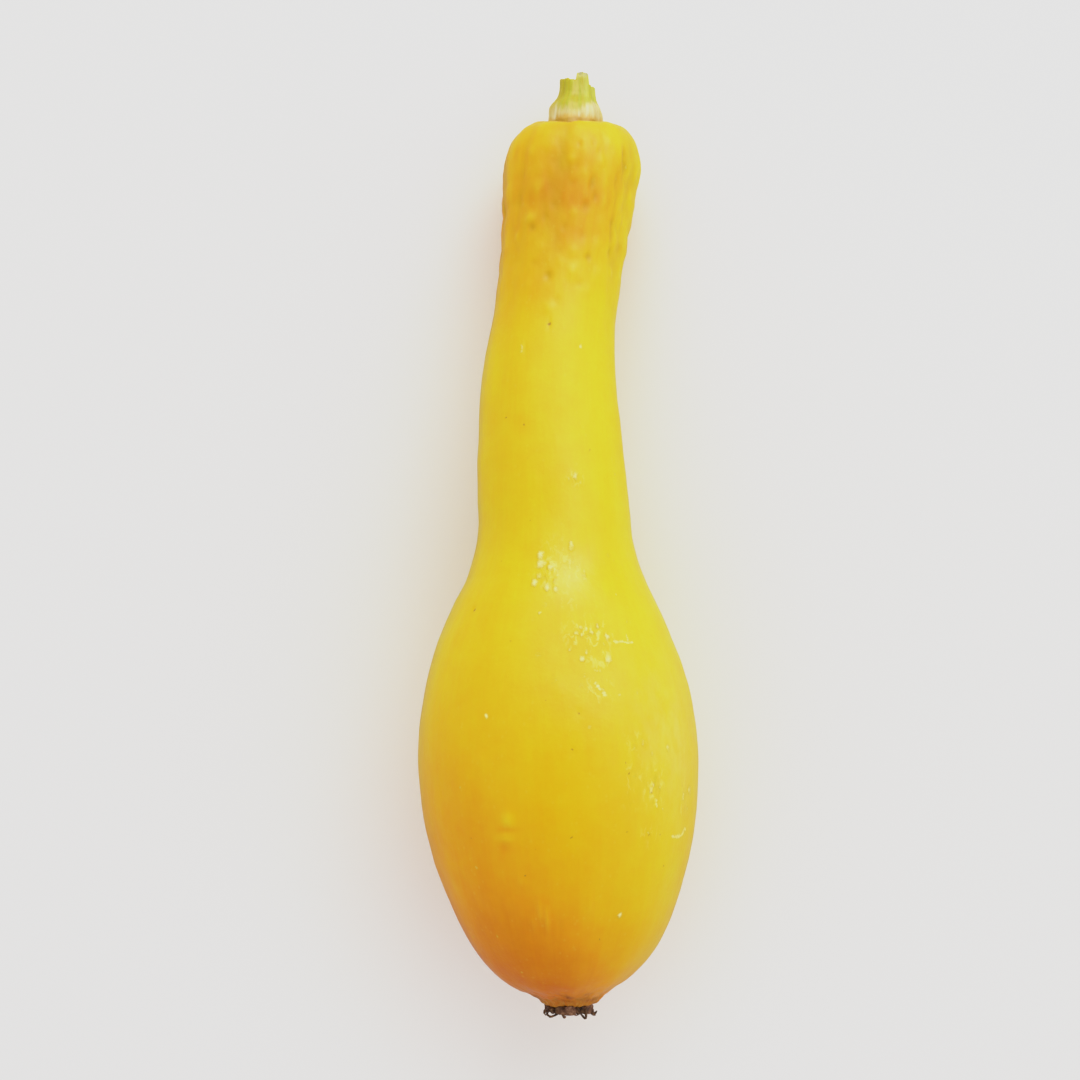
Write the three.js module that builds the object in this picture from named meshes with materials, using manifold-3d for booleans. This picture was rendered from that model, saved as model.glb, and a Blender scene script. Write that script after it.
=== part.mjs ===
// A yellow summer squash with a straight, slightly bent neck, lying on a level surface as picked.
// Three separate pieces: the fruit, the stub of its stem, and the withered remains of its blossom.
// Millimetres. +Y runs along the fruit from the blossom end to the stem, +Z is up, and the fruit rests on z = 0.
import * as THREE from "three";
import { mergeVertices } from "three/addons/utils/BufferGeometryUtils.js";
import Module from "manifold-3d";

const wasm = await Module();
wasm.setup();

// ---------------------------------------------------------------- driving dimensions

// Half profile of the fruit, blossom end to stem end: [radius, distance along the fruit].
// These are the control points of a uniform cubic B-spline whose two end points count three times.
const PROFILE = [
  [0, -102.0], [3.0, -102.0], [4.9, -102.0], [5.9, -101.85], [6.45, -101.4], [6.71, -100.75], [9.3, -99.5], [13.86, -97.0],
  [17.72, -93.2], [21.41, -88.4], [24.49, -82.0], [27.31, -74.5], [29.61, -66.0], [31.0, -57.5], [31.54, -49.0],
  [31.04, -40.5], [29.53, -32.0], [27.0, -24.0], [23.71, -16.0], [20.24, -8.5], [18.09, -1.0], [17.28, 7.0],
  [16.82, 15.5], [16.3, 24.5], [15.64, 33.5], [14.84, 42.5], [14.14, 51.5], [14.15, 60.5], [14.5, 68.5],
  [15.0, 75.5], [15.5, 81.0], [15.75, 84.8], [15.5, 88.4], [14.6, 91.3], [13.05, 93.5], [11.1, 94.85],
  [9.3, 95.3], [7.9, 95.0], [6.9, 94.35], [5.2, 94.1], [2.6, 94.1], [0, 94.1],
];
const FINE_FROM = 8, FINE_TO = 31; // control points between which the profile takes two steps a span

// The core line of the fruit: sideways position and height, as control values every AXIS_STEP from AXIS_START.
const AXIS_START = -120, AXIS_STEP = 15;
const AXIS_X = [5.97, 4.65, 5.08, 5.12, 4.31, 3.85, 3.48, 3.19, 3.25, 2.36, 1.84, 2.57, 4.42, 6.01, 8.05, 7.79, 7.73];
const AXIS_Z = [38.99, 37.28, 35.56, 33.84, 32.14, 30.39, 28.93, 27.64, 26.32, 24.8, 22.98, 20.92, 18.77, 16.71, 14.97, 13.26, 11.54];

const TIP_ASIDE = 1.5; // how far the blossom end's nub stands off that line, sideways

const AROUND = 50; // facets round the fruit, five to a rib
const RIBS = 10;
const RIB_BODY = 0.06; // half height of the faint ribs on the bulb
const RIB_HEAD = 0.3; // what they gain at the head, under the stem
const RIB_PHASE = 0.157;

// The stub of the stem: five-sided, flared where it meets the fruit, broken off unevenly.
const STEM_AT = 94.42; // where its base sits along the fruit, in the dimple of the head
const STEM_ASIDE = 0.25; // off the core line, sideways
const STEM_PROFILE = [ // [radius, height above its base]
  [5.9, 0], [6.25, 0.6], [6.3, 1.8], [6.25, 3.2], [5.95, 4.6], [5.45, 5.9], [4.9, 7.2], [4.5, 8.6], [4.3, 10.2], [4.25, 11.8], [4.15, 13.25],
];
const STEM_RIB = 0.38; // how far its five ridges stand out
const STEM_LOW_SIDE = 11.1; // height of the break on its low side
const STEM_MAIN = 12.8; // height of the break over most of it

// The withered blossom: a shallow cup of dried tissue on the tip of the fruit, with dried veins curling out of its rim.
const CUP_AT = -102.3;
const CUP_R = 5.2, CUP_WALL = 0.75, CUP_FLOOR = 0.6, CUP_RIM = 1.5;
const VEIN_R = 0.26;
// Each vein: points [towards +X, outwards along the fruit, upwards] from the centre of the cup's base.
const VEINS = [
  [[-4.1, 0.8, 2.7], [-4.5, 1.35, 2.8], [-4.55, 1.9, 2.8], [-3.85, 2.4, 2.9], [-3.0, 2.0, 3.1], [-2.6, 1.4, 3.3], [-2.4, 0.9, 3.7]],
  [[2.2, 1.0, 4.3], [2.7, 1.8, 4.4], [3.35, 2.55, 4.3], [3.7, 2.5, 4.0], [3.85, 1.6, 3.6], [3.75, 0.9, 3.1]],
  [[4.7, 0.9, 1.1], [5.2, 1.6, 1.3], [5.6, 1.95, 1.5], [6.0, 1.6, 1.7], [6.3, 1.3, 1.8]],
  [[-1.2, 0.9, -4.6], [-1.7, 1.7, -5.0], [-1.1, 2.4, -5.0], [-0.2, 2.1, -4.5], [0.1, 1.0, -4.6]],
  [[3.2, 0.9, -3.4], [3.9, 1.6, -3.9], [4.2, 2.2, -3.3], [3.6, 2.5, -2.6]],
  [[-4.2, 0.9, -2.2], [-4.9, 1.5, -2.7], [-5.4, 2.0, -2.2], [-5.1, 2.4, -1.4]],
];

// Bottom centre of the whole object's box, which is the frame's origin.
const ORIGIN = new THREE.Vector3(3.9774, 1.3177, 0);

// ---------------------------------------------------------------- curves

const basis = (t) => [(1 - t) ** 3 / 6, (3 * t ** 3 - 6 * t ** 2 + 4) / 6, (-3 * t ** 3 + 3 * t ** 2 + 3 * t + 1) / 6, t ** 3 / 6];

function profileAt(u) {
  const p = [PROFILE[0], PROFILE[0], ...PROFILE, PROFILE.at(-1), PROFILE.at(-1)];
  const i = Math.min(Math.floor(u), p.length - 4);
  const b = basis(u - i);
  return [0, 1].map((k) => b.reduce((sum, w, j) => sum + w * p[i + j][k], 0));
}

function axisValue(values, y) {
  const u = (y - AXIS_START) / AXIS_STEP;
  const i = Math.min(Math.max(Math.floor(u), 1), values.length - 3);
  return basis(u - i).reduce((sum, w, j) => sum + w * values[i - 1 + j], 0);
}

const smooth = THREE.MathUtils.smoothstep;

// The frame of the core line at y: its point, its direction, and the two directions across it.
function coreAt(y) {
  const e = 0.01;
  const along = new THREE.Vector3(
    (axisValue(AXIS_X, y + e) - axisValue(AXIS_X, y - e)) / (2 * e), 1,
    (axisValue(AXIS_Z, y + e) - axisValue(AXIS_Z, y - e)) / (2 * e)).normalize();
  const side = new THREE.Vector3(1, 0, 0).addScaledVector(along, -along.x).normalize();
  const aside = TIP_ASIDE * (1 - smooth(y, -101, -98));
  return { at: new THREE.Vector3(axisValue(AXIS_X, y) + aside, y, axisValue(AXIS_Z, y)), along, side, up: side.clone().cross(along) };
}

// How far the ribs lift the skin at y, where the fruit's radius is r, at the angle a round it.
function rib(y, r, a) {
  const height = RIB_BODY + RIB_HEAD * smooth(y, 48, 90);
  return height * smooth(r, 7.2, 9.8) * Math.cos(RIBS * (a - RIB_PHASE));
}

// ---------------------------------------------------------------- solids

function toSolid(geometry) {
  geometry.deleteAttribute("normal");
  geometry.deleteAttribute("uv");
  const g = mergeVertices(geometry, 1e-3);
  const kept = [];
  for (let i = 0; i < g.index.count; i += 3) {
    const [a, b, c] = [g.index.getX(i), g.index.getX(i + 1), g.index.getX(i + 2)];
    if (a !== b && b !== c && a !== c) kept.push(a, b, c);
  }
  return new wasm.Manifold(new wasm.Mesh({ numProp: 3, vertProperties: g.attributes.position.array, triVerts: new Uint32Array(kept) }));
}

function toGeometry(solid) {
  const m = solid.getMesh();
  const positions = new Float32Array(m.numVert * 3);
  for (let i = 0; i < m.numVert; i++) positions.set(m.vertProperties.subarray(i * m.numProp, i * m.numProp + 3), i * 3);
  const g = new THREE.BufferGeometry().setAttribute("position", new THREE.BufferAttribute(positions, 3)).setIndex(new THREE.BufferAttribute(m.triVerts, 1));
  g.computeVertexNormals();
  return g;
}

function boxSolid(from, to, rotation = null) {
  const g = new THREE.BoxGeometry(to[0] - from[0], to[1] - from[1], to[2] - from[2]);
  if (rotation) g.applyMatrix4(new THREE.Matrix4().makeRotationFromEuler(rotation));
  g.translate((from[0] + to[0]) / 2, (from[1] + to[1]) / 2, (from[2] + to[2]) / 2);
  return toSolid(g);
}

// A lathe shape about its own Y axis, with every vertex then moved by place(radius, height, angle).
function turned(points, segments, place) {
  const g = new THREE.LatheGeometry(points.map(([r, h]) => new THREE.Vector2(r, h)), segments);
  const p = g.attributes.position;
  const v = new THREE.Vector3();
  for (let i = 0; i < p.count; i++) {
    v.fromBufferAttribute(p, i);
    const r = Math.hypot(v.x, v.z);
    const moved = place(r, v.y, Math.atan2(v.z, v.x));
    p.setXYZ(i, moved.x, moved.y, moved.z);
  }
  return g;
}

function fruitGeometry() {
  const points = [];
  for (let u = 0; u <= PROFILE.length + 1; u += u >= FINE_FROM && u < FINE_TO ? 0.5 : 1) {
    const [r, y] = profileAt(u);
    points.push([Math.max(r, 0), y]);
  }
  points[0][0] = points.at(-1)[0] = 0;
  const skin = turned(points, AROUND, (r, y, a) => {
    const { at, side, up } = coreAt(y);
    const full = r + rib(y, r, a);
    return at.addScaledVector(side, full * Math.cos(a)).addScaledVector(up, full * Math.sin(a));
  });
  // The underside is flat where the fruit's weight rests: under the bulb and under the head.
  return toGeometry(toSolid(skin).subtract(boxSolid([-100, -200, -50], [100, 200, 0])));
}

function stemGeometry() {
  const top = STEM_PROFILE.at(-1)[1];
  const blank = turned([[0, 0], [3.2, 0], ...STEM_PROFILE, [2.4, top], [0, top]], 40, (r, h, a) => {
    const ridge = STEM_RIB * smooth(r, 2.4, 4.2) * (0.55 + 0.45 * smooth(h, 0, 3)) * Math.cos(5 * a + 0.4);
    const full = r + ridge;
    return new THREE.Vector3(full * Math.cos(a), h, full * Math.sin(a));
  });
  // Its broken end: lower over most of it, lowest at one side, with one tongue of fibre left standing.
  return toGeometry(toSolid(blank)
    .subtract(boxSolid([-9.5, STEM_MAIN, -9], [0.1, STEM_MAIN + 6, 9], new THREE.Euler(0.05, 0, -0.03)))
    .subtract(boxSolid([2.75, STEM_LOW_SIDE, -9], [12, STEM_LOW_SIDE + 8, 9], new THREE.Euler(-0.08, 0, 0)))
    .subtract(boxSolid([-1, STEM_MAIN - 0.6, -9.5], [4, STEM_MAIN + 6, -0.8], new THREE.Euler(0.12, 0, 0))));
}

function blossomGeometry() {
  const a = CUP_R, w = CUP_WALL;
  const cup = turned([[0, 0], [a * 0.5, 0], [a - 0.35, 0], [a, 0.35], [a + 0.1, CUP_RIM * 0.55], [a - 0.1, CUP_RIM], [a - w, CUP_RIM],
    [a - w - 0.1, CUP_FLOOR + 0.5], [a * 0.45, CUP_FLOOR], [0.9, CUP_FLOOR + 0.1], [0.7, CUP_FLOOR + 0.8], [0, CUP_FLOOR + 0.9]], 40, (r, h, angle) => {
    const ragged = h > 1 && r > 2 ? 0.22 * Math.cos(3 * angle + 1) + 0.16 * Math.cos(7 * angle) : 0;
    const crinkled = r > 2 ? 0.12 * Math.cos(9 * angle + 0.6) * (h / CUP_RIM) : 0;
    return new THREE.Vector3((r + crinkled) * Math.cos(angle), h + ragged * (h / CUP_RIM), (r + crinkled) * Math.sin(angle));
  });
  let solid = toSolid(cup);
  // Round veins, swept along their curves.
  const section = new THREE.Shape();
  for (let i = 0; i < 6; i++) section[i ? "lineTo" : "moveTo"](VEIN_R * Math.cos((i * Math.PI) / 3), VEIN_R * Math.sin((i * Math.PI) / 3));
  section.closePath();
  for (const points of VEINS) {
    const path = new THREE.CatmullRomCurve3(points.map(([x, y, z]) => new THREE.Vector3(-x, y, z)));
    solid = solid.add(toSolid(new THREE.ExtrudeGeometry(section, { steps: 12, extrudePath: path, bevelEnabled: false, curveSegments: 1 })));
  }
  return toGeometry(solid);
}

// ---------------------------------------------------------------- the assembly

const group = new THREE.Group();

function add(name, geometry, material, frame = null, direction = 1) {
  const mesh = new THREE.Mesh(geometry, material);
  mesh.name = name;
  if (frame) {
    // Local Y points out along the fruit, local Z upwards.
    const x = frame.side.clone().multiplyScalar(direction);
    const y = frame.along.clone().multiplyScalar(direction);
    mesh.quaternion.setFromRotationMatrix(new THREE.Matrix4().makeBasis(x, y, x.clone().cross(y)));
    mesh.position.copy(frame.at);
  }
  group.add(mesh);
  return mesh;
}

add("squash_fruit", fruitGeometry(), new THREE.MeshStandardMaterial({ color: 0xdcb422, roughness: 0.38, metalness: 0 }));

const stemFrame = coreAt(STEM_AT);
stemFrame.at.addScaledVector(stemFrame.side, STEM_ASIDE);
add("stem_stub", stemGeometry(), new THREE.MeshStandardMaterial({ color: 0xbcb84a, roughness: 0.62, metalness: 0 }), stemFrame);

add("withered_blossom", blossomGeometry(), new THREE.MeshStandardMaterial({ color: 0x4a3226, roughness: 0.85, metalness: 0 }), coreAt(CUP_AT), -1);

group.position.copy(ORIGIN).negate();

export default group;
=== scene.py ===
# Looks for a yellow summer squash lying on its side. Metres in Blender, millimetres in the shape code below.
import math

import bmesh
import bpy
import numpy as np
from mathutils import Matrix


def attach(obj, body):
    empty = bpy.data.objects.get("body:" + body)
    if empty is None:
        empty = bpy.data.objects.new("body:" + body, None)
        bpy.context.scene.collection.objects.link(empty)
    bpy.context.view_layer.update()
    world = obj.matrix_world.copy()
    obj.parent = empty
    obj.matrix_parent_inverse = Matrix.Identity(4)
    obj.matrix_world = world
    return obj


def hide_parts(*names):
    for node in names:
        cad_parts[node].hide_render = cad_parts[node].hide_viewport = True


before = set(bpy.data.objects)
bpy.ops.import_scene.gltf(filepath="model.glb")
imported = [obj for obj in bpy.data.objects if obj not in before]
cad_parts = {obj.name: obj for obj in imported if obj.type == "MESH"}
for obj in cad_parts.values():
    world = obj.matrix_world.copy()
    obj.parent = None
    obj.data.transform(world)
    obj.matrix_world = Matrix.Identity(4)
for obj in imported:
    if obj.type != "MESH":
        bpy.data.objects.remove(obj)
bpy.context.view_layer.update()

# ------------------------------------------------------------------ the fruit's form, as in the CAD source

PROFILE = np.array([
    [0, -102.0], [3.0, -102.0], [4.9, -102.0], [5.9, -101.85], [6.45, -101.4], [6.71, -100.75], [9.3, -99.5], [13.86, -97.0],
    [17.72, -93.2], [21.41, -88.4], [24.49, -82.0], [27.31, -74.5], [29.61, -66.0], [31.0, -57.5], [31.54, -49.0],
    [31.04, -40.5], [29.53, -32.0], [27.0, -24.0], [23.71, -16.0], [20.24, -8.5], [18.09, -1.0], [17.28, 7.0],
    [16.82, 15.5], [16.3, 24.5], [15.64, 33.5], [14.84, 42.5], [14.14, 51.5], [14.15, 60.5], [14.5, 68.5],
    [15.0, 75.5], [15.5, 81.0], [15.75, 84.8], [15.5, 88.4], [14.6, 91.3], [13.05, 93.5], [11.1, 94.85],
    [9.3, 95.3], [7.9, 95.0], [6.9, 94.35], [5.2, 94.1], [2.6, 94.1], [0, 94.1]])
AXIS_START, AXIS_STEP = -120.0, 15.0
AXIS_X = np.array([5.97, 4.65, 5.08, 5.12, 4.31, 3.85, 3.48, 3.19, 3.25, 2.36, 1.84, 2.57, 4.42, 6.01, 8.05, 7.79, 7.73])
AXIS_Z = np.array([38.99, 37.28, 35.56, 33.84, 32.14, 30.39, 28.93, 27.64, 26.32, 24.8, 22.98, 20.92, 18.77, 16.71, 14.97, 13.26, 11.54])
TIP_ASIDE = 1.5
ORIGIN = np.array([3.9774, 1.3177, 0.0])
STEM_AT, STEM_ASIDE, STEM_RIB = 94.42, 0.25, 0.38
CUP_AT = -102.3
CAMERA_HEIGHT, TABLE_WIDTH = 430.0, 1080 * 0.2407  # the camera's height over the table, and the width of table it takes in


def smooth(x, lo, hi):
    t = np.clip((np.asarray(x, float) - lo) / (hi - lo), 0, 1)
    return t * t * (3 - 2 * t)


def basis(t):
    return (1 - t) ** 3 / 6, (3 * t**3 - 6 * t**2 + 4) / 6, (-3 * t**3 + 3 * t**2 + 3 * t + 1) / 6, t**3 / 6


def profile_at(u):
    q = np.vstack([PROFILE[:1], PROFILE[:1], PROFILE, PROFILE[-1:], PROFILE[-1:]])
    i = np.clip(np.floor(u).astype(int), 0, len(q) - 4)
    b = basis((u - i)[:, None])
    return sum(w * q[i + k] for k, w in enumerate(b))


def axis_value(values, y):
    u = (y - AXIS_START) / AXIS_STEP
    i = np.clip(np.floor(u).astype(int), 1, len(values) - 3)
    b = basis(u - i)
    return sum(w * values[i - 1 + k] for k, w in enumerate(b))


def unit(v):
    return v / np.maximum(np.linalg.norm(v, axis=-1, keepdims=True), 1e-12)


def core_at(y):
    """Point, direction, sideways and upwards of the fruit's core line at each y."""
    y = np.atleast_1d(np.asarray(y, float))
    e = 0.01
    along = unit(np.stack([
        (axis_value(AXIS_X, y + e) - axis_value(AXIS_X, y - e)) / (2 * e), np.ones_like(y),
        (axis_value(AXIS_Z, y + e) - axis_value(AXIS_Z, y - e)) / (2 * e)], 1))
    side = unit(np.array([1.0, 0, 0]) - along * along[:, :1])
    at = np.stack([axis_value(AXIS_X, y) + TIP_ASIDE * (1 - smooth(y, -101, -98)), y, axis_value(AXIS_Z, y)], 1)
    return at, along, side, np.cross(side, along)


# ------------------------------------------------------------------ noise

def _hash(i, j, k, seed):
    with np.errstate(over="ignore"):
        h = (i.astype(np.uint32) * np.uint32(374761393)) ^ (j.astype(np.uint32) * np.uint32(668265263)) ^ (k.astype(np.uint32) * np.uint32(2246822519))
        h = h + np.uint32((seed * 2654435761) & 0xFFFFFFFF)
        h = (h ^ (h >> np.uint32(15))) * np.uint32(2246822519)
        h = (h ^ (h >> np.uint32(13))) * np.uint32(3266489917)
        h = h ^ (h >> np.uint32(16))
    return h


def noise(p, seed=0):
    """Gradient noise of points (n, 3), about -1 to 1, with a cell one unit across."""
    p = np.asarray(p, float)
    base = np.floor(p).astype(np.int64)
    f = p - base
    w = f**3 * (f * (f * 6 - 15) + 10)
    total = np.zeros(len(p))
    for di in (0, 1):
        for dj in (0, 1):
            for dk in (0, 1):
                h = _hash(base[:, 0] + di, base[:, 1] + dj, base[:, 2] + dk, seed)
                z = (h & np.uint32(1023)).astype(float) / 511.5 - 1
                t = ((h >> np.uint32(10)) & np.uint32(4095)).astype(float) / 4096 * 2 * math.pi
                q = np.sqrt(np.maximum(1 - z * z, 0))
                d = f - np.array([di, dj, dk])
                dot = d[:, 0] * q * np.cos(t) + d[:, 1] * q * np.sin(t) + d[:, 2] * z
                wx = w[:, 0] if di else 1 - w[:, 0]
                wy = w[:, 1] if dj else 1 - w[:, 1]
                wz = w[:, 2] if dk else 1 - w[:, 2]
                total += wx * wy * wz * dot
    return total * 1.6


def fractal(p, seed=0, octaves=3, gain=0.5):
    total, amp, norm = 0.0, 1.0, 0.0
    for o in range(octaves):
        total = total + amp * noise(np.asarray(p) * 2.03**o + 17.3 * o, seed + o)
        norm += amp
        amp *= gain
    return total / norm


# ------------------------------------------------------------------ making objects

def new_piece(name, verts_mm, faces, material, node, smooth_shade=True):
    mesh = bpy.data.meshes.new(name)
    mesh.from_pydata(((np.asarray(verts_mm) - ORIGIN) / 1000).tolist(), [], faces)
    mesh.validate()
    mesh.update()
    if smooth_shade:
        mesh.polygons.foreach_set("use_smooth", np.ones(len(mesh.polygons), bool))
    obj = bpy.data.objects.new(name, mesh)
    bpy.context.scene.collection.objects.link(obj)
    mesh.materials.append(material)
    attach(obj, "root")
    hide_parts(node)
    return obj


def give(obj, name, values):
    """Adds a per-vertex float or vector attribute."""
    values = np.asarray(values, np.float32)
    if values.ndim == 1:
        obj.data.attributes.new(name, "FLOAT", "POINT").data.foreach_set("value", values)
    else:
        obj.data.attributes.new(name, "FLOAT_VECTOR", "POINT").data.foreach_set("vector", values.ravel())


def grid_faces(rows, cols):
    """Quads of a grid closed round its columns."""
    i, j = np.meshgrid(np.arange(rows - 1), np.arange(cols), indexing="ij")
    jn = (j + 1) % cols
    return np.stack([i * cols + j, i * cols + jn, (i + 1) * cols + jn, (i + 1) * cols + j], -1).reshape(-1, 4).tolist()


def grid_map(obj, turns, arc):
    """The bake's map for a closed grid with fans at its ends: round it across, along it upwards."""
    layer = obj.data.uv_layers.new(name="OFBake")
    rows, cols = len(arc), len(turns)
    u = np.append(turns, 1.0) * 0.992 + 0.004
    v = np.concatenate([[0.003], 0.008 + 0.984 * arc / arc[-1], [0.997]])
    i, j = np.meshgrid(np.arange(rows - 1), np.arange(cols), indexing="ij")
    quads = np.stack([
        np.stack([u[j], v[i + 1]], -1), np.stack([u[j + 1], v[i + 1]], -1),
        np.stack([u[j + 1], v[i + 2]], -1), np.stack([u[j], v[i + 2]], -1)], -2).reshape(-1, 2)
    k = np.arange(cols)
    middle = (u[k] + u[k + 1]) / 2
    first = np.stack([np.stack([u[k + 1], v[1] + 0 * k], -1), np.stack([u[k], v[1] + 0 * k], -1), np.stack([middle, v[0] + 0 * k], -1)], -2).reshape(-1, 2)
    last = np.stack([np.stack([u[k], v[-2] + 0 * k], -1), np.stack([u[k + 1], v[-2] + 0 * k], -1), np.stack([middle, v[-1] + 0 * k], -1)], -2).reshape(-1, 2)
    layer.uv.foreach_set("vector", np.vstack([quads, first, last]).astype(np.float32).ravel())


# ------------------------------------------------------------------ material helpers

class Nodes:
    """Short names for building a material's nodes."""

    def __init__(self, name):
        self.material = bpy.data.materials.new(name)
        self.material.use_nodes = True
        self.tree = self.material.node_tree
        self.tree.nodes.clear()
        self.out = self.tree.nodes.new("ShaderNodeOutputMaterial")
        self.bsdf = self.tree.nodes.new("ShaderNodeBsdfPrincipled")
        self.link(self.bsdf.outputs[0], self.out.inputs["Surface"])

    def link(self, a, b):
        self.tree.links.new(a, b)

    def put(self, value, socket):
        if isinstance(value, bpy.types.NodeSocket):
            self.link(value, socket)
        else:
            socket.default_value = value

    def attribute(self, name, vector=False):
        n = self.tree.nodes.new("ShaderNodeAttribute")
        n.attribute_name = name
        return n.outputs["Vector" if vector else "Fac"]

    def position(self):
        return self.tree.nodes.new("ShaderNodeTexCoord").outputs["Object"]

    def mapped(self, vector, scale=(1, 1, 1), location=(0, 0, 0)):
        n = self.tree.nodes.new("ShaderNodeMapping")
        self.put(vector, n.inputs["Vector"])
        n.inputs["Scale"].default_value = scale
        n.inputs["Location"].default_value = location
        return n.outputs[0]

    def noise(self, vector, scale, detail=2.0, rough=0.5, distort=0.0):
        n = self.tree.nodes.new("ShaderNodeTexNoise")
        self.put(vector, n.inputs["Vector"])
        n.inputs["Scale"].default_value = scale
        n.inputs["Detail"].default_value = detail
        n.inputs["Roughness"].default_value = rough
        n.inputs["Distortion"].default_value = distort
        return n.outputs["Fac"]

    def cells(self, vector, scale, feature="F1", randomness=1.0, out="Distance"):
        n = self.tree.nodes.new("ShaderNodeTexVoronoi")
        n.feature = feature
        self.put(vector, n.inputs["Vector"])
        n.inputs["Scale"].default_value = scale
        n.inputs["Randomness"].default_value = randomness
        return n.outputs[out]

    def maths(self, op, a, b=0.0, c=0.0, clamp=False):
        n = self.tree.nodes.new("ShaderNodeMath")
        n.operation = op
        n.use_clamp = clamp
        self.put(a, n.inputs[0])
        self.put(b, n.inputs[1])
        self.put(c, n.inputs[2])
        return n.outputs[0]

    def span(self, value, lo, hi, to_lo=0.0, to_hi=1.0, kind="SMOOTHSTEP"):
        n = self.tree.nodes.new("ShaderNodeMapRange")
        n.interpolation_type = kind
        self.put(value, n.inputs["Value"])
        n.inputs["From Min"].default_value = lo
        n.inputs["From Max"].default_value = hi
        n.inputs["To Min"].default_value = to_lo
        n.inputs["To Max"].default_value = to_hi
        return n.outputs["Result"]

    def ramp(self, value, stops):
        n = self.tree.nodes.new("ShaderNodeValToRGB")
        self.put(value, n.inputs[0])
        e = n.color_ramp.elements
        e[0].position, e[0].color = stops[0][0], (*stops[0][1], 1)
        e[1].position, e[1].color = stops[-1][0], (*stops[-1][1], 1)
        for at, colour in stops[1:-1]:
            e.new(at).color = (*colour, 1)
        return n.outputs[0]

    def mix(self, share, a, b, blend="MIX"):
        n = self.tree.nodes.new("ShaderNodeMix")
        n.data_type, n.blend_type = "RGBA", blend
        self.put(share, n.inputs[0])
        self.put(a if isinstance(a, bpy.types.NodeSocket) else (*a, 1), n.inputs[6])
        self.put(b if isinstance(b, bpy.types.NodeSocket) else (*b, 1), n.inputs[7])
        return n.outputs[2]

    def bump(self, height, strength, distance, normal=None):
        n = self.tree.nodes.new("ShaderNodeBump")
        self.put(height, n.inputs["Height"])
        n.inputs["Strength"].default_value = strength
        n.inputs["Distance"].default_value = distance
        if normal is not None:
            self.link(normal, n.inputs["Normal"])
        return n.outputs[0]

    def spots(self, place, places):
        """A mask of soft round spots: (place, radius in millimetres, weight)."""
        total = None
        for at, radius, weight in places:
            n = self.tree.nodes.new("ShaderNodeVectorMath")
            n.operation = "DISTANCE"
            self.link(place, n.inputs[0])
            n.inputs[1].default_value = at
            near = self.maths("MULTIPLY_ADD", n.outputs["Value"], -weight / (radius * 0.001), weight)
            total = near if total is None else self.maths("MAXIMUM", total, near)
        return total

    def shifted(self, vector, scale, amount, detail=1.0):
        """The vector, moved about by noise."""
        n = self.tree.nodes.new("ShaderNodeTexNoise")
        self.put(vector, n.inputs["Vector"])
        n.inputs["Scale"].default_value = scale
        n.inputs["Detail"].default_value = detail
        v = self.tree.nodes.new("ShaderNodeVectorMath")
        v.operation = "MULTIPLY_ADD"
        self.link(n.outputs["Color"], v.inputs[0])
        v.inputs[1].default_value = (amount,) * 3
        v.inputs[2].default_value = (-amount / 2,) * 3
        w = self.tree.nodes.new("ShaderNodeVectorMath")
        w.operation = "ADD"
        self.link(v.outputs[0], w.inputs[0])
        self.put(vector, w.inputs[1])
        return w.outputs[0]

    def set(self, **sockets):
        for name, value in sockets.items():
            self.put(value, self.bsdf.inputs[name.replace("_", " ")])


# ------------------------------------------------------------------ materials

DRAWN = 0.72


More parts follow.
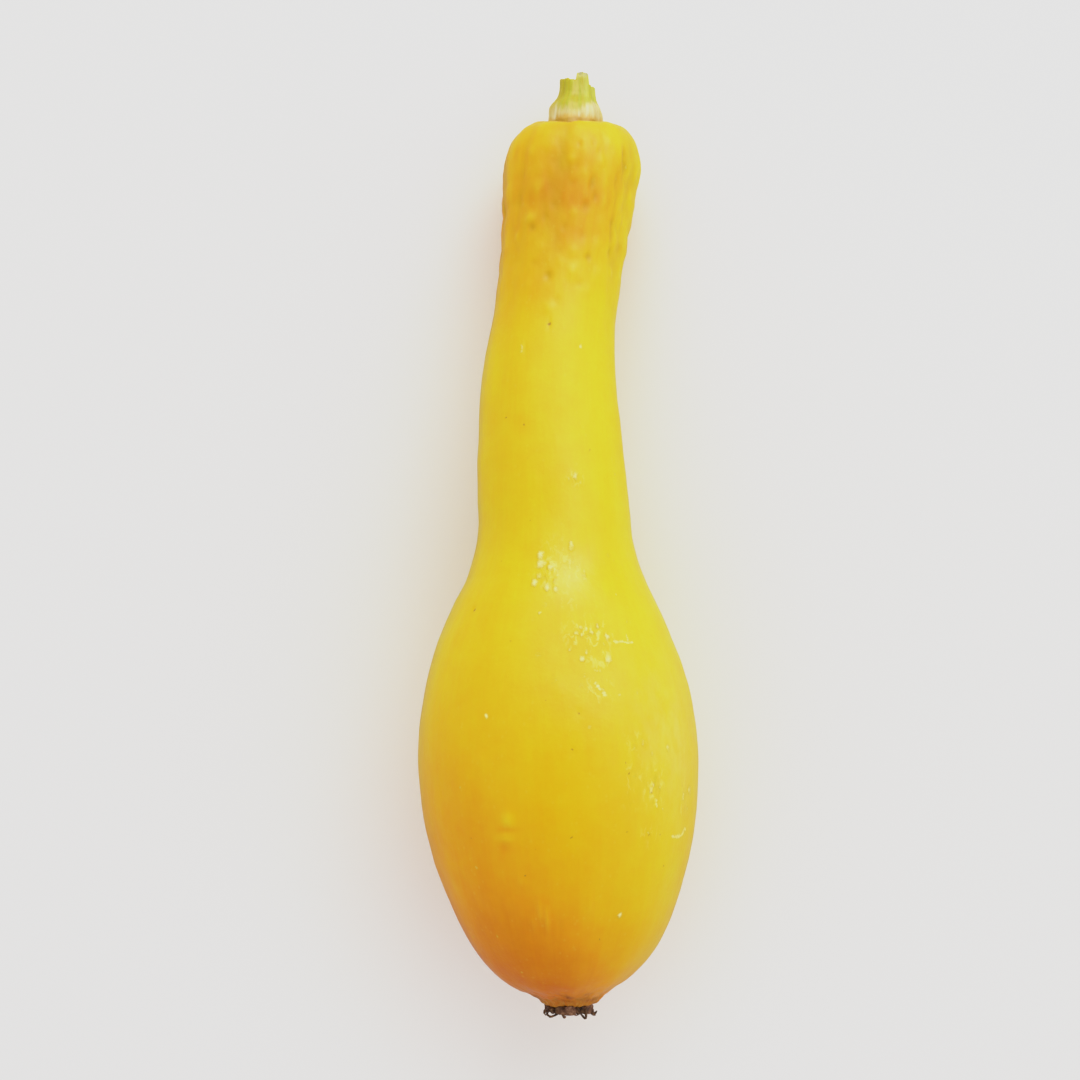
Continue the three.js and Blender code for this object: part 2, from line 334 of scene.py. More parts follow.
def skin_material(scars, scratches, flecks):
    m = Nodes("squash_skin")
    place = m.position()
    flow = m.attribute("flow", True)  # round and along the fruit, in millimetres

    broad = m.noise(place, 55, 3, 0.55)
    blotch = m.noise(place, 260, 3, 0.6)
    fine = m.noise(place, 1400, 2, 0.6)
    streak = m.noise(m.mapped(flow, (1.1, 1.1, 0.06)), 1.0, 3, 0.6)

    # warm is the skin's own orange with painted light and shade in it: more orange on the -X side and towards the
    # blossom end, paler on the +X side.
    warm = m.attribute("warm")
    warm = m.maths("ADD", warm, m.span(broad, 0.3, 0.7, -0.035, 0.035, "LINEAR"))
    warm = m.maths("ADD", warm, m.span(blotch, 0.25, 0.75, -0.04, 0.04, "LINEAR"))
    warm = m.maths("ADD", warm, m.span(streak, 0.3, 0.7, -0.022, 0.022, "LINEAR"))
    # Painted shade in the pits and creases: more orange there, and darker further on.
    furrow_shade = m.attribute("furrow_shade")
    warm = m.maths("MULTIPLY_ADD", furrow_shade, 0.05, warm, clamp=True)
    colour = m.ramp(warm, [
        (0.0, (0.720, 0.645, 0.016)),
        (0.15, (0.720, 0.578, 0.008)),
        (0.45, (0.720, 0.420, 0.003)),
        (0.70, (0.705, 0.282, 0.002)),
        (1.0, (0.568, 0.128, 0.001)),
    ])
    # Painted shade: the pits and creases darker.
    colour = m.mix(m.maths("MULTIPLY", furrow_shade, 0.50), colour, (0.50, 0.325, 0.005))
    # Painted shade on the head, and a deeper colour round the stem's foot and near the blossom end.
    colour = m.mix(m.attribute("deep"), colour, (0.50, 0.235, 0.002))
    # Tiny pale pores all over, and a faint darker grain between them.
    pores = m.cells(m.mapped(place, (1, 0.8, 1)), 620)
    pore = m.span(pores, 0.10, 0.26, 1.0, 0.0)
    pore = m.maths("MULTIPLY", pore, m.span(m.noise(place, 190, 1), 0.42, 0.62))
    colour = m.mix(m.maths("MULTIPLY", pore, 0.10), colour, (0.76, 0.66, 0.09))
    colour = m.mix(m.span(fine, 0.35, 0.75, 0.0, 0.08, "LINEAR"), colour, (0.60, 0.36, 0.004))
    # Bumps a little paler: painted light on their tops.
    colour = m.mix(m.maths("MULTIPLY", m.attribute("crest_light"), 0.40), colour, (0.76, 0.585, 0.018))
    # A faint chalky bloom in places, and a painted sheen on the bulb's right side and on the shoulder below the gleam.
    chalk_and_sheen = m.maths("MULTIPLY", m.attribute("bloom_and_sheen"), m.span(m.noise(m.mapped(place, (1, 0.5, 1)), 330, 4, 0.65), 0.32, 0.62, 0.35, 1.15, "LINEAR"), clamp=True)
    colour = m.mix(chalk_and_sheen, colour, (0.80, 0.71, 0.22))
    # Small dark flecks: some known ones, and others scattered all over.
    ragged = m.shifted(place, 1100, 0.0011, 2)
    cell = m.tree.nodes.new("ShaderNodeTexVoronoi")
    m.put(ragged, cell.inputs["Vector"])
    cell.inputs["Scale"].default_value = 300
    chance = m.tree.nodes.new("ShaderNodeSeparateColor")
    m.link(cell.outputs["Color"], chance.inputs[0])
    stray_dark = m.maths("MULTIPLY", m.span(cell.outputs["Distance"], 0.06, 0.13, 1.0, 0.0), m.span(chance.outputs[0], 0.955, 0.97))
    stray_pale = m.maths("MULTIPLY", m.span(cell.outputs["Distance"], 0.07, 0.14, 1.0, 0.0), m.span(chance.outputs[1], 0.94, 0.96))
    fleck = m.span(m.spots(ragged, flecks), 0.0, 0.45)
    fleck = m.maths("MAXIMUM", fleck, m.maths("MULTIPLY", stray_dark, 0.11))
    colour = m.mix(m.maths("MULTIPLY", fleck, 0.78, clamp=True), colour, (0.38, 0.20, 0.012))
    # Corky scars and scratches, pale and dry. The olive rim round each mark is painted shade beside the raised cork,
    # and near the gleam on the shoulder the pale marks are partly painted glints.
    grit = m.noise(place, 2600, 2, 0.7)
    torn = m.shifted(place, 620, 0.0011, 2)
    drawn = m.mapped(torn, (1, DRAWN, 1))  # marks are longer along the fruit than across it
    scar = m.maths("MAXIMUM", m.spots(drawn, scars), m.spots(torn, scratches))
    scar = m.maths("ADD", scar, m.span(grit, 0.3, 0.7, -0.20, 0.14, "LINEAR"))
    scar = m.maths("MAXIMUM", m.span(scar, 0.0, 1.0, kind="LINEAR"), m.maths("MULTIPLY", stray_pale, 0.30))
    colour = m.mix(m.span(scar, 0.0, 0.20, 0.0, 0.34), colour, (0.54, 0.46, 0.008))
    colour = m.mix(m.span(scar, 0.12, 0.95, 0.0, 1.0), colour, (0.97, 0.83, 0.33))
    # Fine cracks and flakes where the skin is crinkled: the pale flakes are partly painted glints of the gleam broken
    # up by the crinkles, and the dark olive lines are partly painted shade.
    crinkle = m.attribute("crinkle")
    crazed = m.noise(m.mapped(torn, (1, 0.42, 1)), 820, 3, 0.6, 0.6)
    colour = m.mix(m.maths("MULTIPLY", crinkle, m.span(crazed, 0.52, 0.66, 0.0, 0.72)), colour, (0.90, 0.78, 0.20))
    colour = m.mix(m.maths("MULTIPLY", crinkle, m.span(crazed, 0.34, 0.47, 0.50, 0.0)), colour, (0.52, 0.43, 0.008))
    # Brown, drying tissue at the very tip.
    dry = m.attribute("dry")
    dry_noise = m.noise(m.mapped(flow, (0.9, 0.9, 0.5)), 1.6, 3, 0.6)
    dry = m.maths("MULTIPLY", dry, m.span(dry_noise, 0.30, 0.62, 0.25, 1.25, "LINEAR"), clamp=True)
    colour = m.mix(dry, colour, m.ramp(dry_noise, [(0.36, (0.26, 0.080, 0.008)), (0.50, (0.42, 0.155, 0.012)), (0.64, (0.52, 0.225, 0.030)), (0.76, (0.64, 0.35, 0.10))]))
    # Soft brown stains beside it.
    stain = m.maths("MULTIPLY", m.attribute("stain"), m.span(dry_noise, 0.34, 0.60, 0.35, 1.15, "LINEAR"), clamp=True)
    colour = m.mix(stain, colour, (0.30, 0.080, 0.006))

    rough = m.span(m.noise(place, 420, 3, 0.6), 0.3, 0.7, 0.285, 0.325, "LINEAR")
    rough = m.maths("MULTIPLY_ADD", m.span(broad, 0.35, 0.65), 0.03, rough)
    rough = m.maths("MULTIPLY_ADD", m.attribute("dull"), 0.30, rough)
    rough = m.maths("ADD", rough, m.maths("MULTIPLY", scar, 0.25))
    rough = m.maths("ADD", rough, m.maths("MULTIPLY", dry, 0.25), clamp=True)

    # Only the larger marks stand out in relief.
    raised = m.span(m.spots(drawn, [s for s in scars if s[1] >= 0.62 and s[2] >= 0.5]), 0.0, 0.8)
    height = m.maths("MULTIPLY_ADD", crinkle, crazed, m.maths("MULTIPLY", raised, m.span(grit, 0.2, 0.8, 0.6, 1.5, "LINEAR")))
    n1 = m.bump(height, 0.6, 0.0003)
    n2 = m.bump(m.noise(place, 900, 2, 0.6), 0.16, 0.00030, n1)
    m.set(Base_Color=colour, Roughness=rough, Normal=n2, IOR=1.42)
    m.bsdf.inputs["Specular IOR Level"].default_value = 0.20
    m.bsdf.inputs["Subsurface Weight"].default_value = 0.10
    m.bsdf.inputs["Subsurface Radius"].default_value = (1.0, 0.55, 0.08)
    m.bsdf.inputs["Subsurface Scale"].default_value = 0.0022
    return m.material


def stem_material():
    m = Nodes("squash_stem")
    fibre = m.attribute("fibre", True)
    h = m.attribute("height")
    streak = m.noise(m.mapped(fibre, (1, 1, 0.10)), 1.3, 3, 0.55)
    soft = m.noise(m.mapped(fibre, (1, 1, 0.5)), 0.55, 2, 0.5)
    # The stem is painted paler on its side towards the lamps: painted light.
    green = m.ramp(m.maths("ADD", streak, m.maths("MULTIPLY", m.attribute("painted_light_side"), 0.21)), [
        (0.28, (0.50, 0.41, 0.008)), (0.46, (0.51, 0.45, 0.009)), (0.62, (0.48, 0.48, 0.012)), (0.92, (0.56, 0.58, 0.085))])
    cream = m.ramp(m.maths("ADD", streak, m.maths("MULTIPLY", m.attribute("painted_light_side"), 0.14)), [(0.26, (0.60, 0.47, 0.12)), (0.48, (0.68, 0.57, 0.23)), (0.74, (0.75, 0.70, 0.45))])
    foot = m.ramp(soft, [(0.35, (0.60, 0.37, 0.022)), (0.65, (0.70, 0.48, 0.075))])
    edge = m.maths("ADD", m.attribute("greenness"), m.span(m.noise(m.mapped(fibre, (1, 1, 0.13)), 2.1, 3, 0.6), 0.3, 0.7, -0.13, 0.13, "LINEAR"))
    colour = m.mix(m.span(edge, 0.26, 0.76), cream, green)
    colour = m.mix(m.maths("MULTIPLY", m.span(m.maths("ADD", h, m.span(streak, 0.3, 0.7, -0.45, 0.45, "LINEAR")), 1.8, 3.2, 1.0, 0.0), 0.9), colour, foot)
    seam = m.maths("ADD", h, m.span(soft, 0.3, 0.7, -0.22, 0.22, "LINEAR"))
    colour = m.mix(m.span(seam, 1.45, 2.05, 0.75, 0.0), colour, (0.52, 0.31, 0.009))
    cut = m.attribute("cut")
    pith = m.noise(fibre, 2.4, 4, 0.7)
    colour = m.mix(cut, colour, m.ramp(pith, [(0.3, (0.42, 0.40, 0.07)), (0.5, (0.65, 0.63, 0.22)), (0.7, (0.80, 0.78, 0.46))]))
    colour = m.mix(m.maths("MULTIPLY", m.attribute("dried"), m.span(pith, 0.3, 0.6, 0.5, 1.0, "LINEAR")), colour, (0.36, 0.35, 0.22))
    rough = m.span(streak, 0.3, 0.7, 0.42, 0.62, "LINEAR")
    n1 = m.bump(m.noise(m.mapped(fibre, (1, 1, 0.07)), 3.2, 4, 0.65), 0.55, 0.00025)
    n2 = m.bump(m.noise(fibre, 7.0, 3, 0.6), 0.25, 0.00012, n1)
    m.set(Base_Color=colour, Roughness=rough, Normal=n2)
    m.bsdf.inputs["Specular IOR Level"].default_value = 0.28
    m.bsdf.inputs["Subsurface Weight"].default_value = 0.10
    m.bsdf.inputs["Subsurface Radius"].default_value = (0.8, 0.8, 0.2)
    m.bsdf.inputs["Subsurface Scale"].default_value = 0.0015
    return m.material


def blossom_material():
    m = Nodes("dried_blossom")
    place = m.position()
    tone = m.noise(place, 1050, 4, 0.7)
    patch = m.noise(m.mapped(place, location=(0.3, 0.1, 0.7)), 330, 2, 0.5)
    pale = m.maths("ADD", m.attribute("pale"), m.span(patch, 0.35, 0.65, -0.35, 0.35, "LINEAR"))
    dark = m.ramp(tone, [(0.32, (0.016, 0.006, 0.002)), (0.52, (0.095, 0.038, 0.012)), (0.70, (0.24, 0.12, 0.045))])
    mauve = m.ramp(tone, [(0.32, (0.055, 0.020, 0.009)), (0.52, (0.19, 0.078, 0.036)), (0.70, (0.37, 0.20, 0.11))])
    colour = m.mix(m.span(pale, 0.12, 0.60), dark, mauve)
    colour = m.mix(m.maths("MULTIPLY", m.attribute("scar"), m.span(tone, 0.3, 0.7, 0.6, 1.0, "LINEAR")), colour, (0.42, 0.24, 0.10))
    n1 = m.bump(m.noise(place, 1500, 4, 0.7), 0.7, 0.00025)
    m.set(Base_Color=colour, Roughness=m.span(tone, 0.3, 0.7, 0.55, 0.85, "LINEAR"), Normal=n1)
    m.bsdf.inputs["Specular IOR Level"].default_value = 0.35
    return m.material


# ------------------------------------------------------------------ the fruit

AROUND = 282


def columns():
    """Angles round the fruit, closer together over the upper side."""
    g = np.radians(np.linspace(0, 360, 7201))
    near = 1 + 1.5 * smooth(np.sin(g), -0.15, 0.45)
    share = np.concatenate([[0], np.cumsum((near[1:] + near[:-1]) / 2)])
    return np.interp(np.arange(AROUND) / AROUND * share[-1], share, g)


def rings():
    """Radius, distance along, and arc length of each ring of the fruit, closer together where there is more to show."""
    u = np.linspace(0.35, len(PROFILE) + 0.65, 9000)
    ra = profile_at(u)
    r, a = np.maximum(ra[:, 0], 0), ra[:, 1]
    arc = np.concatenate([[0], np.cumsum(np.hypot(np.diff(r), np.diff(a)))])
    step = 0.92 - 0.56 * (1 - smooth(a, -100, -92)) - 0.38 * smooth(a, -38, -28) * (1 - smooth(a, 0, 8)) - 0.42 * smooth(a, 44, 56)
    count = np.concatenate([[0], np.cumsum(np.diff(arc) / ((step[1:] + step[:-1]) / 2))])
    total = int(count[-1])
    at = np.interp(np.linspace(0, count[-1], total), count, arc)
    return np.interp(at, arc, r), np.interp(at, arc, a), at


def make_fruit():
    r, a, arc = rings()
    rows = len(r)
    print("fruit rings", rows, "triangles", 2 * rows * AROUND)
    phi = columns()
    at, along, side, up = core_at(a)
    R, A, S = np.repeat(r, AROUND), np.repeat(a, AROUND), np.repeat(arc, AROUND)
    F = np.tile(phi, rows)
    across = np.cos(F)[:, None] * np.repeat(side, AROUND, 0) + np.sin(F)[:, None] * np.repeat(up, AROUND, 0)
    P = np.repeat(at, AROUND, 0) + R[:, None] * across

    # Outward normals of the plain form.
    def normals(points):
        g = points.reshape(rows, AROUND, 3)
        du = np.gradient(g, axis=0)
        dv = np.roll(g, -1, 1) - np.roll(g, 1, 1)
        return unit(np.cross(dv, du).reshape(-1, 3))

    N = normals(P)
    N *= np.sign((N * across).sum(1).mean())

    def at_arc(y):
        """Arc length at distance y along, on the outer skin."""
        k = (a > -101.5) & (arc < arc[np.argmax(a)])
        return np.interp(y, a[k], arc[k])

    def spot(y, angle, long, wide, shape=2.0):
        """A soft spot on the skin at y and angle (degrees round, 90 on top), of these half sizes in millimetres."""
        s0 = at_arc(y)
        r0 = np.interp(s0, arc, r)
        dphi = (F - math.radians(angle) + math.pi) % (2 * math.pi) - math.pi
        q = ((S - s0) / long) ** 2 + (dphi * r0 / wide) ** 2
        return np.exp(-(q ** (shape / 2)))

    def streak(y0, angle0, y1, angle1, wide):
        """A soft line on the skin."""
        s0, s1 = at_arc(y0), at_arc(y1)
        r0 = np.interp((s0 + s1) / 2, arc, r)
        t0, t1 = math.radians(angle0), math.radians(angle1)
        dphi = (F - t0 + math.pi) % (2 * math.pi) - math.pi
        px, py = (t1 - t0) * r0, s1 - s0
        qx, qy = dphi * r0, S - s0
        t = np.clip((qx * px + qy * py) / (px * px + py * py), 0, 1)
        d = np.hypot(qx - t * px, qy - t * py)
        return np.exp(-((d / wide) ** 2)) * (0.65 + 0.35 * np.sin(t * 9 + 1))

    # ---- broad form: the unevenness of a grown thing
    low = 0.32 * noise(P / [24, 34, 24], 3) + 0.12 * noise(P / [11, 17, 11], 4)
    low *= smooth(A, -100, -88) * smooth(R, 9.5, 13)
    # Each side's own dents and swellings.
    across_x, across_z = across[:, 0], across[:, 2]
    sides = np.interp(A, LEFT_SIDE[:, 0], LEFT_SIDE[:, 1]) * smooth(-across_x, 0.35, 0.97)
    sides += np.interp(A, RIGHT_SIDE[:, 0], RIGHT_SIDE[:, 1]) * smooth(across_x, 0.35, 0.97)
    low += 0.9 * sides * smooth(R, 8, 13)
    # The rim round the stem is lower on top and fuller on the right.
    degrees = np.degrees(F)
    end = smooth(A, 88, 92) * (A > 80)
    low -= 1.12 * np.exp(-(((degrees - 93) / 46) ** 2)) * smooth(R, 6.4, 8.6) * (1 - smooth(R, 11.2, 14.2)) * end
    right = np.exp(-((((degrees + 180) % 360 - 180 - 8) / 30) ** 2))
    low += right * (0.62 * np.exp(-(((R - 11.3) / 1.9) ** 2)) + 0.34 * np.exp(-(((R - 9.9) / 1.3) ** 2)) - 0.34 * np.exp(-(((R - 7.3) / 0.9) ** 2))) * end
    low -= 0.30 * np.exp(-(((degrees - 152) / 42) ** 2)) * np.exp(-(((R - 9.6) / 2.0) ** 2)) * (A < -90)
    low -= 0.26 * np.exp(-(((degrees - 30) / 34) ** 2)) * np.exp(-(((R - 8.6) / 1.9) ** 2)) * (A < -90)
    left = np.exp(-((((degrees + 180) % 360 - 180 - 150) / 26) ** 2))
    low += 0.42 * left * np.exp(-(((R - 9.8) / 1.7) ** 2)) * end

    # ---- ribs, faint on the bulb and strong at the head, drawn together under the stem
    wander = 0.10 * noise(np.stack([np.cos(F) * 1.3, np.sin(F) * 1.3, S / 22], 1), 8)
    head = smooth(A, 46, 84)
    rib = (0.05 + 0.20 * head) * np.cos(10 * (F + wander) - 1.57) + 0.22 * head * np.cos(5 * (F + wander) + 0.4)
    rib += 0.05 * (1 - smooth(A, -96, -60)) * np.cos(10 * (F + wander) - 1.57)
    rib *= smooth(R, 8.2, 11.5) * (1 - 0.65 * smooth(A, 86, 92))
    # Creases between the pleats on the head's shoulder.
    pleats = np.zeros(len(P))
    for angle, deep, reach in CREASES:
        dphi = (F + wander * 0.5 - math.radians(angle) + math.pi) % (2 * math.pi) - math.pi
        env = smooth(S, at_arc(reach), at_arc(90.0)) * smooth(R, 8.0, 12.0)
        pleats -= 0.85 * deep * env * np.exp(-((dphi * np.maximum(R, 7) / 1.15) ** 2))

    # ---- warts and dimples round the head, thinning out down the neck
    rng = np.random.default_rng(41)
    warts = np.zeros(len(P))
    for _ in range(330):
        y = 44 + 46 * rng.random() ** 0.62
        angle = 360 * rng.random()
        strength = smooth(y, 40, 66) * (1 - 0.55 * smooth(y, 84, 90))
        top = 35 < angle < 165  # that side has its own list
        amp = rng.choice([-1, 1]) * rng.uniform(0.05, 0.20) * strength * (0.35 if top else 1.0)
        wide = rng.uniform(0.75, 1.5)
        long = wide * rng.uniform(1.0, 2.4)
        warts += amp * spot(y, angle, long, wide)
    for y, angle, amp, long, wide in HEAD_MARKS:
        warts += (1.8 if amp > 0 else 1.75) * amp * spot(y, angle, long * 1.12, wide * 1.3)
    warts += smooth(A, 42, 70) * (0.085 * noise(P / [2.5, 4.2, 2.5], 12) + 0.05 * noise(P / [1.35, 2.3, 1.35], 13)) * (1 - 0.5 * smooth(A, 86, 92))

    # ---- the bulb's small lumps
    lumps = 0.035 * noise(P / [3.2, 4.6, 3.2], 21) + 0.035 * noise(P / [6.5, 9.0, 6.5], 22)
    lumps *= smooth(A, -101, -92) * (1 - 0.5 * smooth(A, 0, 20) * (1 - smooth(A, 40, 60)))
    for y, angle, amp, long, wide in BULB_MARKS:
        lumps += 1.7 * amp * spot(y, angle, long, wide)
    for _ in range(210):
        y, angle = rng.uniform(-92, 40), 360 * rng.random()
        amp = rng.choice([-1, 1], p=[0.4, 0.6]) * rng.uniform(0.03, 0.10)
        top = 30 < angle < 150
        wide = rng.uniform(0.7, 1.4) if top else rng.uniform(1.5, 2.6)
        lumps += amp * (0.5 if top else 0.9) * spot(y, angle, wide * rng.uniform(1.0, 1.9), wide)

    # ---- the crinkled patch on the shoulder
    patch = np.zeros(len(P))
    for y, angle, long, wide, weight in CRINKLES:
        patch = np.maximum(patch, weight * spot(y, angle, long, wide, 3.0))
    cells = noise(P / [0.95, 1.25, 0.95], 31)
    crinkles = 0.05 * patch * cells
    crinkles += 0.03 * spot(-6, 82, 6.5, 5.0) * noise(P / [1.9, 2.6, 1.9], 32) + 0.05 * spot(-24, 72, 8, 7) * noise(P / [1.7, 2.2, 1.7], 33)
    # ---- the nub at the blossom end
    tip = 1 - smooth(A, -100.6, -97.5)
    wrinkle = noise(np.stack([np.cos(F) * 4.2, np.sin(F) * 4.2, S / 2.4], 1), 51) + 0.6 * noise(np.stack([np.cos(F) * 9, np.sin(F) * 9, S / 1.6], 1), 52)
    nub = tip * smooth(R, 4.0, 5.6) * (0.12 * np.cos(5 * F + 0.8) + 0.08 * np.cos(9 * F) + 0.20 * wrinkle)
    nub += 0.10 * (1 - smooth(A, -99.2, -93)) * smooth(A, -101.5, -99.5) * wrinkle

    small = rib + pleats + warts + lumps + crinkles
    d = low + small + nub
    P2 = P + N * d[:, None]
    # The skin gives a little where the weight rests, so the underside is flat there.
    floor = 0.02
    P2[:, 2] = np.where(P2[:, 2] < 0.6, floor + (np.maximum(P2[:, 2], floor) - floor) ** 2 / (np.maximum(P2[:, 2], floor) - floor + 0.10), P2[:, 2])

    # ---- end fans
    first = P2[:AROUND].mean(0)
    last = P2[-AROUND:].mean(0)
    verts = np.vstack([P2, first, last])
    faces = grid_faces(rows, AROUND)
    f, l = len(P2), len(P2) + 1
    faces += [[(j + 1) % AROUND, j, f] for j in range(AROUND)]
    base = (rows - 1) * AROUND
    faces += [[base + j, base + (j + 1) % AROUND, l] for j in range(AROUND)]

    def on_skin(y, angle):
        """The place on the finished skin, in metres, at y and angle."""
        i = np.argmin(np.abs(arc - at_arc(y)))
        j = np.argmin(np.abs((phi - math.radians(angle) + math.pi) % (2 * math.pi) - math.pi))
        plain = core_at(y)
        r0 = np.interp(at_arc(y), arc, r)
        t = math.radians(angle)
        p = plain[0][0] + r0 * (math.cos(t) * plain[2][0] + math.sin(t) * plain[3][0])
        k = i * AROUND + j
        return tuple((p + N[k] * d[k] - ORIGIN) / 1000)

    scars = [(on_skin(y, g), size * 1.18, pale) for y, g, size, pale in SCARS if size >= 0.4 or pale > 0.55]
    scars = [((x, y * DRAWN, z), size, pale) for (x, y, z), size, pale in scars]
    scratches = []
    for y0, g0, y1, g1, size, pale in SCRATCHES:
        n = max(2, int(math.dist(on_skin(y0, g0), on_skin(y1, g1)) * 1000 / (size * 1.1)) + 1)
        scratches += [(on_skin(y0 + (y1 - y0) * t, g0 + (g1 - g0) * t), size * (1.65 if k % 2 else 1.3), pale * (1.05 if k % 3 else 0.9))
                      for k, t in enumerate(np.linspace(0, 1, n))]
    flecks = [(on_skin(y, g), size, dark) for y, g, size, dark in FLECKS]
    obj = new_piece("squash_fruit_skin", verts, faces, skin_material(scars, scratches, flecks), "squash_fruit")
    grid_map(obj, phi / (2 * math.pi), arc)

    # ---- pigment, with painted light and shade in it
    warm = np.interp(A, WARMTH[:, 0], WARMTH[:, 1])
    # Painted light and shade, partly the skin's own colour too: paler on the +X side, towards the lamps, and more
    # orange on the -X side, most on its upper half.
    warm = warm * (1 - PALE_AND_LIT_SIDE * smooth(across_x, -0.1, 0.95) * (0.35 + 0.65 * smooth(A, -100, -90)))
    warm = warm + ORANGE_AND_SHADE_SIDE * smooth(-across_x, 0.0, 0.8) * (1 - 0.7 * smooth(A, 50, 75)) * (0.4 + 0.6 * smooth(across_z, -0.9, 0.0))
    warm = warm + 0.04 * (1 - smooth(across[:, 2], -0.6, 0.3))
    for y, angle, long, wide, more in PATCHES:
        warm = warm + more * spot(y, angle, long, wide)
    warm = warm + 0.05 * noise(P / [13, 26, 13], 61) + 0.03 * noise(P / [5, 9, 5], 62)
    warm = warm + 0.07 * smooth(A, 46, 72) * noise(P / [2.6, 4.6, 2.6], 63)
    warm = np.clip(warm, 0, 1)
    relief = warts + pleats + rib * 0.4 + lumps * 0.6
    # Painted shade in the pits and creases, and painted light on the tops of the bumps.
    furrow_shade = np.clip(-relief / 0.32, 0, 1) * (0.35 + 0.65 * smooth(A, 40, 60))
    crest_light = np.clip(relief / 0.40, 0, 1)
    dry = (1 - smooth(A + 0.9 * wrinkle, -101.9, -99.6)) * smooth(R, 4.5, 5.8) + (1 - smooth(R, 4.6, 5.8)) * (A < 0)
    for y, angle, long, wide, weight in TIP_PATCHES:
        dry = dry + weight * spot(y, angle, long, wide)
    flow = np.stack([np.cos(F) * 20, np.sin(F) * 20, S], 1)

    def put(name, values, ends):
        give(obj, name, np.concatenate([values, np.asarray(ends, float).reshape(2, -1) if values.ndim == 2 else ends]))

    put("warm", warm, [1, 0.4])
    put("furrow_shade", furrow_shade, [0, 0])
    put("crest_light", crest_light, [0, 0])
    put("crinkle", patch, [0, 0])
    dull = np.zeros(len(P))
    for y, angle, long, wide, weight in DULL:
        dull += weight * spot(y, angle, long, wide)
    put("dull", np.clip(dull, 0, 1), [0, 0])
    # Painted shade on the head, and a deeper colour round the stem's foot.
    deep = np.zeros(len(P))
    for y, angle, long, wide, weight in DEEP_AND_SHADE:
        deep += weight * spot(y, angle, long, wide)
    deep += 0.60 * (1 - smooth(R, 7.8, 10.4)) * (A > 88)
    put("deep", np.clip(deep, 0, 1), [0, 0])
    put("dry", dry, [1, 0])
    for name, places in (("bloom_and_sheen", BLOOM_AND_SHEEN), ("stain", STAINS)):
        here = np.zeros(len(P))
        for y, angle, long, wide, weight in places:
            here = np.maximum(here, weight * spot(y, angle, long, wide))
        put(name, here, [0, 0])
    put("flow", flow, [[0, 0, 0], [0, 0, float(arc[-1])]])
    return obj


# ------------------------------------------------------------------ the stem

def stem_top(x, z):
    """Height of the broken end over each point: a step, a tongue of fibre left standing, and a low side."""
    main = 12.95 - 0.22 * z - 0.45 * smooth(x, -2.05, -1.65)
    low = 11.0 - 0.06 * z - 0.04 * (x - 2.75)
    tongue = 13.50 - 0.10 * (x - 1.1) ** 2
    behind = 12.1 - 0.12 * (z + 0.8)
    front = smooth(z, -1.05, -0.55)
    mid = tongue * front + behind * (1 - front)
    a = smooth(x, -0.42, -0.12)
    b = smooth(x, 2.25, 2.50)
    return (main * (1 - a) + mid * a) * (1 - b) + low * b


STEM_RIBS = [[165, 17, 0.62], [112, 21, 0.95], [58, 18, 1.0], [10, 18, 0.68], [322, 20, 0.8], [270, 20, 1.0], [218, 20, 0.8]]  # [angle, half width, height]


